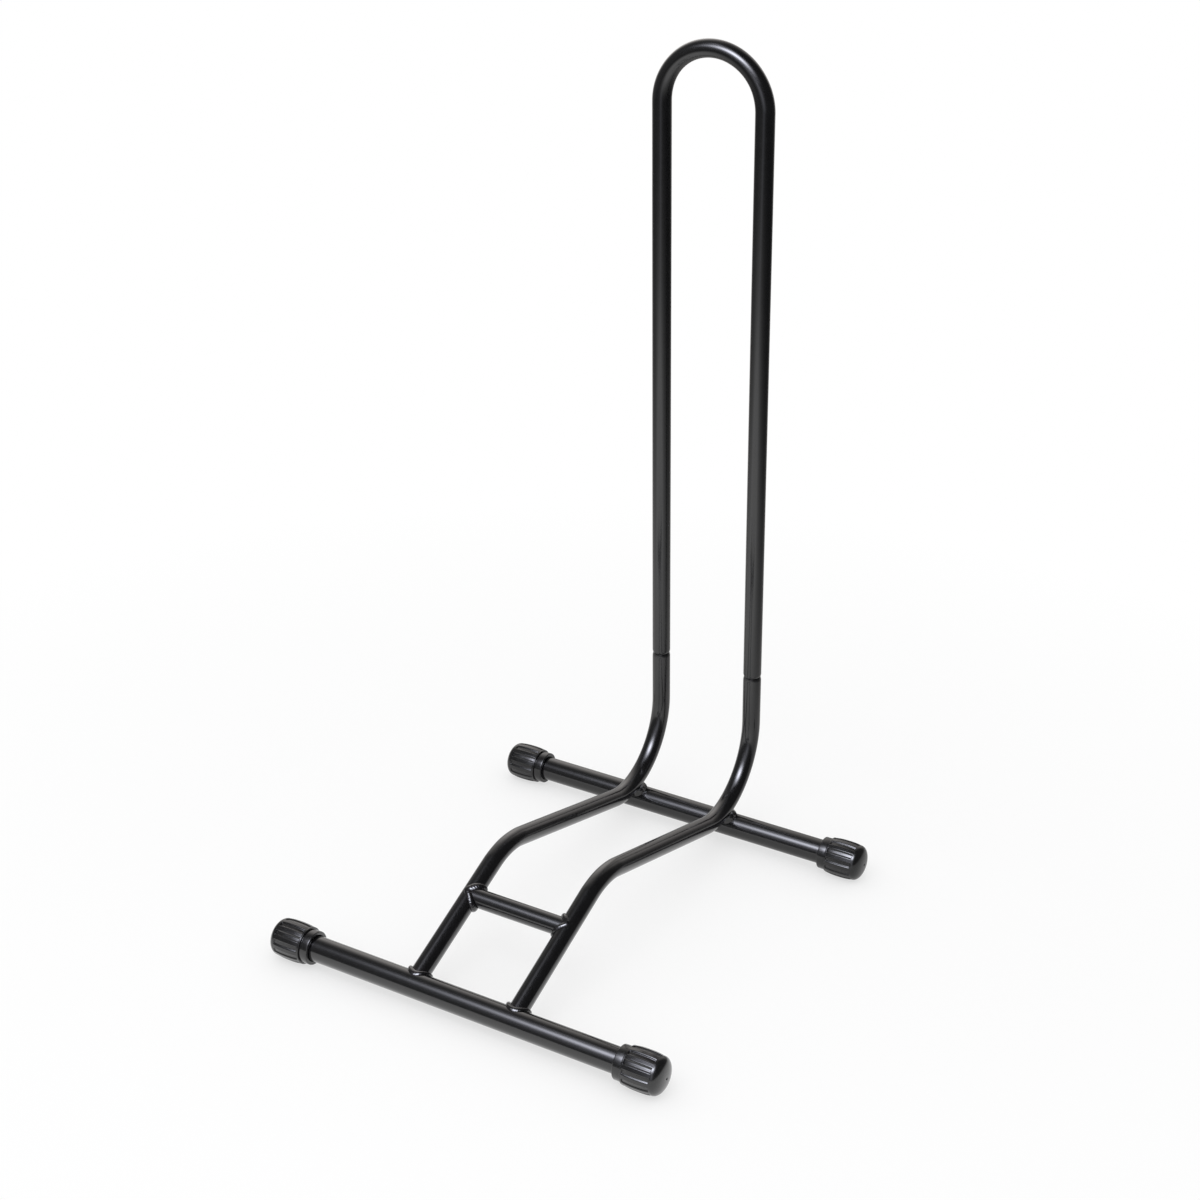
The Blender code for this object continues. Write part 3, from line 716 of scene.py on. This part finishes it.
def lumps(turn, seed):
    """A slow unevenness between -1 and 1, from four sine waves of the angle along the bead.

    The wave that comes w times in a turn has a height in proportion to 1 / w. Its phase, in turns, is the
    fractional part of 43758.5453 sin(12.9898 w + 78.233 seed), so it differs for each wave and seed.
    """
    waves = np.arange(2, 6)
    phase = np.modf(np.sin(waves * 12.9898 + seed * 78.233) * 43758.5453)[0] * 2 * math.pi
    return np.sin(turn[..., None] * waves + phase) @ (1 / waves) / np.sum(1 / waves)


def ripples(count, turn, share):
    """Rows of frozen ripples: |cos|^0.8 of half the ripple count times the angle, bowed along the bead.

    The bow adds 2.2 over the ripple count, times the square of the distance from the bead's middle line,
    which counts 1 at its toes.
    """
    bowed = turn + (2 * share - 1) ** 2 * 2.2 / count
    return np.abs(np.cos(bowed * count / 2)) ** 0.8


def ring_bead(name, start, along, cylinder, tubes, welds, on_cylinder, on_tube, seed, lumpiness):
    """A fillet weld all round the end of a tube that meets a cylinder.

    At the angle p round the tube, the root is where a line of the tube leaves the cylinder. One toe lies
    square to the seam over the cylinder and the other up the tube. Each reaches its size times a fullness
    of 0.75 + 0.3 lumpiness, give or take the slow unevenness, and a ripple of 0.1 mm. The crown is the
    straight line between the toes, kept outside the root and raised by crown 4 s (1 - s), with s from toe to
    toe, and by lumps and ripples.
    """
    turn = np.linspace(0.0, 2 * math.pi, BEAD_COLUMNS, endpoint=False)
    beside = unit(np.cross(along, cylinder.axis))
    radial = cylinder.axis * np.cos(turn)[:, None] + beside * np.sin(turn)[:, None]
    radial = unit(radial - (radial @ along)[:, None] * along)
    points = start + radial * (tubes.tube_outer / 2 + tubes.clearance)
    root = points + length_to_leave(points, along, cylinder)[:, None] * along
    outward = outward_from(root, cylinder)
    heading = unit(np.cross(np.roll(root, -1, axis=0) - np.roll(root, 1, axis=0), outward))
    toe_ripple, crown_ripple, out_to_middle = 0.00010, 0.00009, 0.002
    uneven_reach, uneven_climb, uneven_crown = 0.16, 0.2, 0.35
    middle_of_bead = tubes.tube_outer / 2 + out_to_middle
    count = 2 * round(2 * math.pi * middle_of_bead / welds.ripple_pitch / 2)
    toe_wave = ripples(count, turn, np.zeros(1)) * toe_ripple
    fullness = 0.75 + 0.3 * lumpiness
    reach = on_cylinder * (fullness + uneven_reach * lumpiness * lumps(turn, seed)) + toe_wave
    climb = on_tube * (fullness + uneven_climb * lumpiness * lumps(turn, seed + 3)) + toe_wave
    under = [walked(root, heading, reach * share, cylinder) for share in (0.0, 0.33, 0.67, 1.0)]
    under = np.stack(under, axis=1)
    tube_toe = root + along * climb[:, None]
    share = np.linspace(0.0, 1.0, 26)[1:-1]
    chord = under[:, -1:, :] * (1 - share)[:, None] + tube_toe[:, None, :] * share[:, None]
    bisector = unit(outward + radial)
    sunk = np.maximum(np.sum((root[:, None] - chord) * bisector[:, None], axis=-1), 0.0)
    arched = 4 * share * (1 - share)
    raised = welds.crown * arched * (1 + uneven_crown * lumpiness * lumps(turn, seed + 7)[:, None])
    wave = ripples(count, turn[:, None], share[None, :])
    raised = raised + crown_ripple * lumpiness**2 * np.sqrt(arched) * wave
    crown = chord + bisector[:, None] * (sunk + raised)[..., None]
    grid = np.concatenate([under, crown, tube_toe[:, None]], axis=1)
    return surface(name, grid, True, sharp_angle=50.0)


def rear_bead(name, layout, tubes, base, welds, side, face, seed):
    """A fillet between a heel and the rear bar, beside the line where they touch.

    Its section at each angle about the heel's centre lies in a plane with the direction of the bar. One edge
    runs round the squeezed tube from the root to the toe, the other along the bar, and the crown stands over
    the chord between the two toes by 1.2 mm times 4 s (1 - s), with s from toe to toe, and by lumps and
    ripples. The toes and the crown draw in to both ends as sqrt(1 - r^2), where r runs along the bead.
    """
    root_angle, opening = math.radians(24.0), math.radians(46.0)
    crown, crown_lump, crown_ripple = 0.0012, 0.0003, 0.00007
    end_share, ripple_count, uneven_opening = 0.995, 12, 0.10
    spread, spread_ripple, lift_aside, lift_out = 0.62, 0.14, 0.8, 0.45
    radius = tubes.tube_outer / 2
    reach = tubes.bar_outer / 2 + tubes.clearance
    kept = kept_height(tubes, tubes.bend_radius)
    to_bar = tubes.bend_radius + radius * kept + tubes.clearance + tubes.bar_outer / 2
    run = np.linspace(-end_share, end_share, 64)
    offset = run * welds.rear_length / (tubes.bend_radius + radius) / 2
    full = np.sqrt(1 - run**2)
    bar_level = to_bar * np.cos(offset) - np.sqrt(reach**2 - (to_bar * np.sin(offset)) ** 2)
    half_wide, half_high = radius + tubes.clearance, radius * kept + tubes.clearance
    wave = ripples(ripple_count, run * math.pi, np.zeros(1))
    unevenness = lumps(run * math.pi, seed)
    toe_angle = root_angle + opening * full * (1 + uneven_opening * unevenness)
    angle = root_angle + (toe_angle - root_angle)[:, None] * np.linspace(0.0, 1.0, 8)
    tube_width = half_wide * np.sin(angle)
    tube_level = tubes.bend_radius + half_high * np.cos(angle)
    toe_width, toe_level = tube_width[:, -1:], tube_level[:, -1:]
    under_tube = tubes.bend_radius + half_high - toe_level
    flare = toe_width + under_tube * (spread + spread_ripple * wave[:, None])
    s = np.linspace(0.0, 1.0, 20)[None, 1:]
    arched = 4 * s * (1 - s) * full[:, None]
    lift = arched * (crown + crown_lump * unevenness[:, None])
    lift = lift + np.sqrt(arched) * crown_ripple * wave[:, None]
    crown_width = toe_width * (1 - s) + flare * s + lift * lift_aside
    crown_level = toe_level * (1 - s) + bar_level[:, None] * s - lift * lift_out
    floor_width = flare * 0.5 + tube_width[:, :1] * 0.5
    width = np.concatenate([tube_width, crown_width, floor_width, tube_width[:, :1]], axis=1)
    level = np.concatenate([tube_level, crown_level, bar_level[:, None], bar_level[:, None]], axis=1)
    outward = side_direction(base.rear_seat_angle + offset - math.pi / 2)
    grid = outward[:, None, :] * level[..., None] + ACROSS * face * width[..., None]
    grid = grid + layout.heel_centre + ACROSS * side * base.tube_spacing / 2
    first, last = grid[:1].mean(axis=1, keepdims=True), grid[-1:].mean(axis=1, keepdims=True)
    columns = grid.shape[1]
    grid = np.concatenate([np.repeat(first, columns, axis=1), grid, np.repeat(last, columns, axis=1)])
    return surface(name, grid, False, sharp_angle=50.0)


# Finishes

def nodes_of(name):
    """A new node material, its tree and its main shader."""
    material = bpy.data.materials.new(name)
    material.use_nodes = True
    return material, material.node_tree, material.node_tree.nodes["Principled BSDF"]


def object_noise(tree, scale, detail, stretch=(1.0, 1.0, 1.0), turn=(0.0, 0.0, 0.0)):
    """Noise with this many cells to the metre, on the object's own coordinates."""
    place = tree.nodes.new("ShaderNodeTexCoord")
    mapping = tree.nodes.new("ShaderNodeMapping")
    mapping.inputs["Rotation"].default_value = turn
    mapping.inputs["Scale"].default_value = stretch
    noise = tree.nodes.new("ShaderNodeTexNoise")
    noise.inputs["Scale"].default_value = scale
    noise.inputs["Detail"].default_value = detail
    tree.links.new(place.outputs["Object"], mapping.inputs["Vector"])
    tree.links.new(mapping.outputs["Vector"], noise.inputs["Vector"])
    return noise.outputs["Fac"]


def ranged(tree, value, low, high, from_low=0.3, from_high=0.7):
    """The value carried from one range to another."""
    node = tree.nodes.new("ShaderNodeMapRange")
    limits = {"From Min": from_low, "From Max": from_high, "To Min": low, "To Max": high}
    for socket, number in limits.items():
        node.inputs[socket].default_value = number
    tree.links.new(value, node.inputs["Value"])
    return node.outputs["Result"]


def bumped(tree, heights):
    """A chain of bump nodes for (noise, height in metres) pairs."""
    normal = None
    for value, height in heights:
        bump = tree.nodes.new("ShaderNodeBump")
        bump.inputs["Distance"].default_value = height
        tree.links.new(value, bump.inputs["Height"])
        if normal is not None:
            tree.links.new(normal, bump.inputs["Normal"])
        normal = bump.outputs["Normal"]
    return normal


def two_tones(tree, value, dark, pale):
    """A colour that goes from one tone to the other with the value."""
    ramp = tree.nodes.new("ShaderNodeValToRGB")
    ramp.color_ramp.elements[0].position, ramp.color_ramp.elements[1].position = 0.3, 0.7
    ramp.color_ramp.elements[0].color = (*dark, 1.0)
    ramp.color_ramp.elements[1].color = (*pale, 1.0)
    tree.links.new(value, ramp.inputs["Fac"])
    return ramp.outputs["Color"]


def shaded(colour, factor):
    """The colour with each channel times the factor."""
    return tuple(channel * factor for channel in colour)


def filmed(name, colour, roughness, tone, gloss, bumps, film):
    """A dielectric with noise in its tone, its gloss and its bumps, under a clear film.

    tone and gloss are patterns whose low and high are factors on the colour and on the roughness. Each bump
    is (cells, detail, height), coarsest first, and film is the weight and roughness of the clear film.
    """
    found = bpy.data.materials.get(name)
    if found:
        return found
    material, tree, shader = nodes_of(name)
    cloud = object_noise(tree, tone.cells, tone.detail)
    tones = two_tones(tree, cloud, shaded(colour, tone.low), shaded(colour, tone.high))
    tree.links.new(tones, shader.inputs["Base Color"])
    sheen = object_noise(tree, gloss.cells, gloss.detail)
    rough = ranged(tree, sheen, roughness * gloss.low, roughness * gloss.high)
    tree.links.new(rough, shader.inputs["Roughness"])
    heights = [(object_noise(tree, cells, detail), height) for cells, detail, height in bumps]
    tree.links.new(bumped(tree, heights), shader.inputs["Normal"])
    shader.inputs["IOR"].default_value = 1.5
    shader.inputs["Coat Weight"].default_value, shader.inputs["Coat Roughness"].default_value = film
    return material


def powder_coat(finishes):
    """Satin black powder coat: a fine orange peel, slow waves in the film and uneven gloss."""
    return filmed(
        "satin_coat", finishes.coat_colour, finishes.coat_roughness,
        tone=Pattern(70.0, 4.0, 0.85, 1.2), gloss=Pattern(160.0, 3.0, 0.88, 1.14),
        bumps=((240.0, 1.0, 0.00001), (1100.0, 2.0, 0.0000035)), film=(0.8, 0.10),
    )


def coated_weld(finishes):
    """The same coat over a weld: thicker film, so glossier, with small lumps and pits."""
    return filmed(
        "satin_weld_coat", finishes.coat_colour, finishes.coat_roughness,
        tone=Pattern(120.0, 4.0, 0.8, 1.3), gloss=Pattern(300.0, 3.0, 0.7, 1.05),
        bumps=((330.0, 2.0, 0.00007), (900.0, 2.0, 0.000015)), film=(0.9, 0.09),
    )


def foot_rubber(finishes):
    """Moulded rubber: a fine grain over slow waves, and uneven tone and gloss."""
    return filmed(
        "moulded_rubber", finishes.rubber_colour, finishes.rubber_roughness,
        tone=Pattern(90.0, 5.0, 0.8, 1.3), gloss=Pattern(210.0, 4.0, 0.85, 1.2),
        bumps=((420.0, 2.0, 0.00003), (2600.0, 2.0, 0.00001)), film=(0.6, 0.12),
    )


def drawn_steel(finishes, lean):
    """Bare drawn steel: long fine lines along the sleeve, from noise stretched along its length."""
    found = bpy.data.materials.get("drawn_sleeve")
    if found:
        return found
    material, tree, shader = nodes_of("drawn_sleeve")
    colour = finishes.steel_colour
    lines = object_noise(tree, 2200.0, 3.0, stretch=(1.0, 1.0, 0.02), turn=(-lean, 0.0, 0.0))
    tones = two_tones(tree, lines, shaded(colour, 0.82), shaded(colour, 1.15))
    tree.links.new(tones, shader.inputs["Base Color"])
    tree.links.new(ranged(tree, lines, 0.26, 0.46), shader.inputs["Roughness"])
    tree.links.new(bumped(tree, [(lines, 0.00001)]), shader.inputs["Normal"])
    shader.inputs["Metallic"].default_value = 1.0
    return material


# Operators

class STAND_OT_bars(bpy.types.Operator):
    """Makes the front and the rear cross bar"""

    bl_idname = "stand.make_bars"
    bl_label = "Cross Bars"

    def execute(self, context):
        scene = context.scene
        coat = powder_coat(scene.stand_finishes)
        for node in ("front_bar", "rear_bar"):
            bar = surface("coated_" + node, bar_grid(scene.stand_tubes, node), True)
            placed(bar, node, "base", coat)
        return {"FINISHED"}


class STAND_OT_side_tubes(bpy.types.Operator):
    """Makes the two bent side tubes"""

    bl_idname = "stand.make_side_tubes"
    bl_label = "Side Tubes"

    def execute(self, context):
        scene = context.scene
        layout = lay_out(scene)
        coat = powder_coat(scene.stand_finishes)
        for side_name, side in SIDES.items():
            node = "side_tube_" + side_name
            grid = side_tube_grid(layout, scene.stand_tubes, side, scene.stand_base.tube_spacing)
            placed(surface("coated_" + node, grid, True), node, "base", coat)
        return {"FINISHED"}


class STAND_OT_brace(bpy.types.Operator):
    """Makes the short brace between the side tubes"""

    bl_idname = "stand.make_brace"
    bl_label = "Cross Brace"

    def execute(self, context):
        scene = context.scene
        grid = brace_grid(lay_out(scene), scene.stand_tubes, scene.stand_base)
        brace = surface("coated_cross_brace", grid, True)
        placed(brace, "cross_brace", "base", powder_coat(scene.stand_finishes))
        return {"FINISHED"}


class STAND_OT_hoop(bpy.types.Operator):
    """Makes the tall hoop"""

    bl_idname = "stand.make_hoop"
    bl_label = "Hoop"

    def execute(self, context):
        scene, base = context.scene, context.scene.stand_base
        grid = hoop_grid(lay_out(scene), scene.stand_tubes, scene.stand_hoop, base.tube_spacing, base.lean)
        hoop = surface("coated_hoop", grid, True)
        placed(hoop, "hoop", "hoop", powder_coat(scene.stand_finishes))
        return {"FINISHED"}


class STAND_OT_spigots(bpy.types.Operator):
    """Makes the two spigots that carry the hoop"""

    bl_idname = "stand.make_spigots"
    bl_label = "Spigots"

    def execute(self, context):
        scene = context.scene
        layout, base = lay_out(scene), scene.stand_base
        steel = drawn_steel(scene.stand_finishes, base.lean)
        for side_name, side in SIDES.items():
            node = "spigot_" + side_name
            grid = spigot_grid(layout, scene.stand_tubes, base, scene.stand_hoop, side)
            spigot = surface("drawn_" + node, grid, True, sharp_angle=30.0)
            placed(spigot, node, "base", steel)
        return {"FINISHED"}


class STAND_OT_feet(bpy.types.Operator):
    """Makes the four fluted rubber feet"""

    bl_idname = "stand.make_feet"
    bl_label = "Rubber Feet"

    def execute(self, context):
        scene = context.scene
        rubber = foot_rubber(scene.stand_finishes)
        for side_name, side in SIDES.items():
            for end in ("front", "rear"):
                node = "foot_" + end + "_" + side_name
                foot = surface("rubber_" + node, foot_grid(scene, node, side), False)
                placed(foot, node, "base", rubber)
        return {"FINISHED"}


class STAND_OT_front_welds(bpy.types.Operator):
    """Makes the beads where the side tubes meet the front bar"""

    bl_idname = "stand.make_front_welds"
    bl_label = "Front Welds"

    def execute(self, context):
        scene = context.scene
        layout, tubes, welds = lay_out(scene), scene.stand_tubes, scene.stand_welds
        bar = Cylinder(packed_middle("front_bar"), ACROSS, tubes.bar_outer / 2 + tubes.clearance)
        for side_name, side in SIDES.items():
            node = "weld_front_" + side_name
            start = layout.start + ACROSS * side * scene.stand_base.tube_spacing / 2
            bead = ring_bead(
                "coated_" + node, start, layout.rise, bar, tubes, welds,
                welds.front_on_bar, welds.front_on_tube, 5 + side, EVEN,
            )
            placed(bead, node, "base", coated_weld(scene.stand_finishes))
        return {"FINISHED"}


class STAND_OT_brace_welds(bpy.types.Operator):
    """Makes the beads at both ends of the brace"""

    bl_idname = "stand.make_brace_welds"
    bl_label = "Brace Welds"

    def execute(self, context):
        scene = context.scene
        layout, tubes, welds = lay_out(scene), scene.stand_tubes, scene.stand_welds
        for side_name, side in SIDES.items():
            node = "weld_brace_" + side_name
            start = brace_middle(layout, scene.stand_base) + ACROSS * side * scene.stand_base.tube_spacing / 2
            side_tube = Cylinder(start, layout.rise, tubes.tube_outer / 2 + tubes.clearance)
            lumpiness = LUMPY if side < 0 else EVEN
            bead = ring_bead(
                "coated_" + node, start, -side * ACROSS, side_tube, tubes, welds,
                welds.brace_on_tube, welds.brace_on_brace, 11 + side, lumpiness,
            )
            placed(bead, node, "base", coated_weld(scene.stand_finishes))
        return {"FINISHED"}


class STAND_OT_rear_welds(bpy.types.Operator):
    """Makes the beads on both sides of each heel"""

    bl_idname = "stand.make_rear_welds"
    bl_label = "Rear Welds"

    def execute(self, context):
        scene = context.scene
        layout, tubes, welds = lay_out(scene), scene.stand_tubes, scene.stand_welds
        for side_name, side in SIDES.items():
            for face_name, face in (("outer", side), ("inner", -side)):
                node = "weld_rear_" + side_name + "_" + face_name
                seed = 20 + 3 * side + face
                bead = rear_bead("coated_" + node, layout, tubes, scene.stand_base, welds, side, face, seed)
                placed(bead, node, "base", coated_weld(scene.stand_finishes))
        return {"FINISHED"}


# Stage

def floor_grid():
    """A flat disc: rings whose radius grows as 30 m times t^2.4, all at the height of the floor."""
    t = np.linspace(0.0, 1.0, 30)
    turn = np.linspace(0.0, 2 * math.pi, 96, endpoint=False)
    radius = 30.0 * t**2.4
    ring = np.stack([np.cos(turn), np.sin(turn), np.zeros_like(turn)], axis=-1)
    return radius[:, None, None] * ring[None]


def floor_material(settings):
    """Pale and matt, with a faint unevenness, which goes over into the white surroundings.

    Seen directly, it is 62 per cent plain white up to 0.45 m from the middle of the stand, and all white
    from 1.1 m on.
    """
    material, tree, shader = nodes_of("floor")
    shader.inputs["Roughness"].default_value = 0.9
    shader.inputs["Specular IOR Level"].default_value = 0.0
    pale = settings.floor_colour
    tones = two_tones(tree, object_noise(tree, 3.0, 3.0), shaded(pale, 0.995), pale)
    tree.links.new(tones, shader.inputs["Base Color"])
    white = tree.nodes.new("ShaderNodeEmission")
    white.inputs["Color"].default_value = (1.0, 1.0, 1.0, 1.0)
    place = tree.nodes.new("ShaderNodeTexCoord")
    far = tree.nodes.new("ShaderNodeVectorMath")
    far.operation = "LENGTH"
    tree.links.new(place.outputs["Object"], far.inputs[0])
    white_near, near, all_white = 0.62, 0.45, 1.1
    away = ranged(tree, far.outputs["Value"], white_near, 1.0, near, all_white)
    share = combined(tree, "MULTIPLY", seen_directly(tree), away)
    show_mix(tree, share, shader.outputs["BSDF"], white.outputs["Emission"])
    return material


def tent_light(azimuth, elevation):
    """Colour of the light tent in a direction, from angles in degrees, azimuth from +Y towards +X.

    It is a plain level of 0.05 + 0.10 ((1 - cos a) / 2)^1.5, where a counts from 65 degrees on the right,
    and for each glow its level times exp(-x^2 - y^2), where x and y count from the glow's middle in its
    widths and heights.
    """
    darkest, least, rise = 65.0, 0.05, 0.10
    from_right = np.radians(azimuth - darkest)
    plain = least + rise * ((1 - np.cos(from_right)) / 2) ** 1.5
    light = plain[..., None] * np.ones(3)
    for glow in GLOWS:
        turn = (azimuth - glow.azimuth + 180.0) % 360.0 - 180.0
        x = turn * math.cos(math.radians(glow.elevation)) / glow.width
        y = (elevation - glow.elevation) / glow.height
        light = light + glow.level * np.exp(-(x**2) - y**2)[..., None] * np.array(glow.colour)
    return light


def tent_grid():
    """A dome over the stand: 3 m times (cos e sin a, cos e cos a, sin e)."""
    turn = np.linspace(0.0, 2 * math.pi, 240, endpoint=False)[None, :]
    climb = np.linspace(0.0, math.pi / 2, 90)[:, None]
    level = np.cos(climb)
    dome = np.stack([level * np.sin(turn), level * np.cos(turn), np.sin(climb) + 0 * turn], axis=-1)
    light = tent_light(np.degrees(turn), np.degrees(climb))
    return 3.0 * dome, np.concatenate([light, np.ones(light.shape[:2] + (1,))], axis=-1)


def shade_grid():
    """The fall of light over the floor, as rings round a middle 0.5 m in front of the stand's.

    The radius grows as 0.42 + 3.3 t^2, and the cover as 1 - exp(-(radius - 0.42) / 0.45). The light is half
    of the tent's in the same direction, 4 degrees over the horizon. The card lies 3 mm over the floor.
    """
    inner, fall, in_front, over_floor, climb = 0.42, 0.45, 0.5, 0.003, 4.0
    turn = np.linspace(0.0, 2 * math.pi, 120, endpoint=False)[None, :]
    radius = inner + 3.3 * np.linspace(0.0, 1.0, 60)[:, None] ** 2
    place = [radius * np.sin(turn), radius * np.cos(turn) - in_front, over_floor + 0 * radius * turn]
    light = 0.5 * tent_light(np.degrees(turn) + 0 * radius, climb + 0 * radius * turn)
    cover = 1 - np.exp(-(radius - inner) / fall) + 0 * turn
    return np.stack(place, axis=-1), np.concatenate([light, cover[..., None]], axis=-1)


def gloss_only(card):
    """These cards shape what the glossy tubes mirror, and light nothing and hide nothing."""
    card.visible_camera = False
    card.visible_diffuse = False
    card.visible_transmission = False
    card.visible_volume_scatter = False
    card.visible_shadow = False


def combined(tree, operation, first, second):
    """One value from two, by a Math node."""
    node = tree.nodes.new("ShaderNodeMath")
    node.operation = operation
    tree.links.new(first, node.inputs[0])
    tree.links.new(second, node.inputs[1])
    return node.outputs[0]


def show_mix(tree, share, first, second):
    """Shows the first shader where the share is 0 and the second where it is 1."""
    mix = tree.nodes.new("ShaderNodeMixShader")
    tree.links.new(share, mix.inputs["Fac"])
    tree.links.new(first, mix.inputs[1])
    tree.links.new(second, mix.inputs[2])
    tree.links.new(mix.outputs["Shader"], tree.nodes["Material Output"].inputs["Surface"])


def card_material(name):
    """The card's own tone, as light, as far as it covers."""
    material, tree, _ = nodes_of(name)
    tone = tree.nodes.new("ShaderNodeAttribute")
    tone.attribute_name = "tone"
    glow = tree.nodes.new("ShaderNodeEmission")
    clear = tree.nodes.new("ShaderNodeBsdfTransparent")
    tree.links.new(tone.outputs["Color"], glow.inputs["Color"])
    show_mix(tree, tone.outputs["Alpha"], clear.outputs["BSDF"], glow.outputs["Emission"])
    return material


def seen_directly(tree):
    """1 for what the camera, a reflection or a see-through piece shows, and 0 for light on surfaces."""
    rays = tree.nodes.new("ShaderNodeLightPath").outputs
    shiny = combined(tree, "MAXIMUM", rays["Is Camera Ray"], rays["Is Glossy Ray"])
    return combined(tree, "MAXIMUM", shiny, rays["Is Transmission Ray"])


def standing(right, back, place):
    """The matrix with these directions and the one square to both as its columns, at this place."""
    matrix = Matrix([Vector(right), Vector(np.cross(back, right)), Vector(back)]).transposed().to_4x4()
    matrix.translation = Vector(place)
    return matrix


def make_soft_box(power):
    """The soft box over the front, with its length along X. No reflection shows it."""
    lamp = bpy.data.lights.new("soft_box", "AREA")
    lamp.shape = "RECTANGLE"
    lamp.size, lamp.size_y = 1.1, 1.0
    lamp.energy, lamp.color = power, (0.97, 0.98, 1.0)
    place, aim = np.array((0.03, -0.92, 1.61)), np.array((0.0, 0.0, 0.3))
    back = unit(place - aim)
    right = unit(np.cross(np.cross(back, ACROSS), back))
    made = bpy.data.objects.new("soft_box", lamp)
    made.matrix_world = standing(right, back, place)
    made.visible_glossy = False
    bpy.context.scene.collection.objects.link(made)


def make_world(room_level):
    """White surroundings: 1 where they are seen directly, and the room's level as light on surfaces."""
    world = bpy.data.worlds.new("studio")
    world.use_nodes = True
    tree = world.node_tree
    background = tree.nodes["Background"]
    background.inputs["Color"].default_value = (1.0, 1.0, 1.0, 1.0)
    level = ranged(tree, seen_directly(tree), room_level, 1.0, 0.0, 1.0)
    tree.links.new(level, background.inputs["Strength"])
    return world


def make_camera(settings):
    """The photograph's camera."""
    data = bpy.data.cameras.new("camera")
    data.sensor_width = 36.0
    data.lens = settings.camera_lens
    data.clip_start, data.clip_end = 0.05, 100.0
    camera = bpy.data.objects.new("camera", data)
    back = -unit(np.array(settings.camera_aim))
    right = unit(np.cross(np.array(settings.camera_top), back))
    camera.matrix_world = standing(right, back, settings.camera_place)
    bpy.context.scene.collection.objects.link(camera)
    return camera


class STAND_OT_stage(bpy.types.Operator):
    """Makes the floor, the cards that reflections show, the lamp, the room's light and the camera"""

    bl_idname = "stand.make_stage"
    bl_label = "Floor, Light and Camera"

    def execute(self, context):
        scene = context.scene
        settings = scene.stand_stage
        floor = surface("floor", floor_grid(), False)
        floor.data.materials.append(floor_material(settings))
        make_soft_box(settings.key_power)
        for name, (grid, tone) in {"light_tent": tent_grid(), "floor_shade": shade_grid()}.items():
            card = surface(name, grid, False, tone)
            card.data.materials.append(card_material(name))
            gloss_only(card)
        scene.world = make_world(settings.room_level)
        scene.camera = make_camera(settings)
        scene.view_settings.view_transform = "Standard"
        return {"FINISHED"}


class STAND_PT_panel(bpy.types.Panel):
    """Lists the pieces of the stand and its sizes"""

    bl_label = "Wheel Stand"
    bl_idname = "STAND_PT_panel"
    bl_space_type = "VIEW_3D"
    bl_region_type = "UI"
    bl_category = "Stand"

    def draw(self, context):
        for operator in OPERATORS:
            self.layout.operator(operator.bl_idname)
        for name in GROUPS:
            group = getattr(context.scene, name)
            box = self.layout.box()
            box.label(text=GROUPS[name].__doc__.split(".")[0])
            for prop in GROUPS[name].__annotations__:
                box.prop(group, prop)


GROUPS = {
    "stand_tubes": TubeSizes,
    "stand_base": BaseSizes,
    "stand_hoop": HoopSizes,
    "stand_feet": FootSizes,
    "stand_welds": WeldSizes,
    "stand_finishes": Finishes,
    "stand_stage": StageSettings,
}
OPERATORS = (
    STAND_OT_bars, STAND_OT_side_tubes, STAND_OT_brace, STAND_OT_hoop, STAND_OT_spigots, STAND_OT_feet,
    STAND_OT_front_welds, STAND_OT_brace_welds, STAND_OT_rear_welds, STAND_OT_stage,
)


def register():
    """Registers the sizes, the operators and the panel."""
    for group in GROUPS.values():
        bpy.utils.register_class(group)
    for name, group in GROUPS.items():
        setattr(bpy.types.Scene, name, PointerProperty(type=group))
    for operator in OPERATORS:
        bpy.utils.register_class(operator)
    bpy.utils.register_class(STAND_PT_panel)


def unregister():
    """Takes everything away again, last first."""
    bpy.utils.unregister_class(STAND_PT_panel)
    for operator in reversed(OPERATORS):
        bpy.utils.unregister_class(operator)
    for name in GROUPS:
        delattr(bpy.types.Scene, name)
    for group in reversed(list(GROUPS.values())):
        bpy.utils.unregister_class(group)


def main():
    """Makes every piece and the stage."""
    register()
    bpy.ops.stand.make_bars()
    bpy.ops.stand.make_side_tubes()
    bpy.ops.stand.make_brace()
    bpy.ops.stand.make_hoop()
    bpy.ops.stand.make_spigots()
    bpy.ops.stand.make_feet()
    bpy.ops.stand.make_front_welds()
    bpy.ops.stand.make_brace_welds()
    bpy.ops.stand.make_rear_welds()
    bpy.ops.stand.make_stage()


if __name__ == "__main__":
    main()
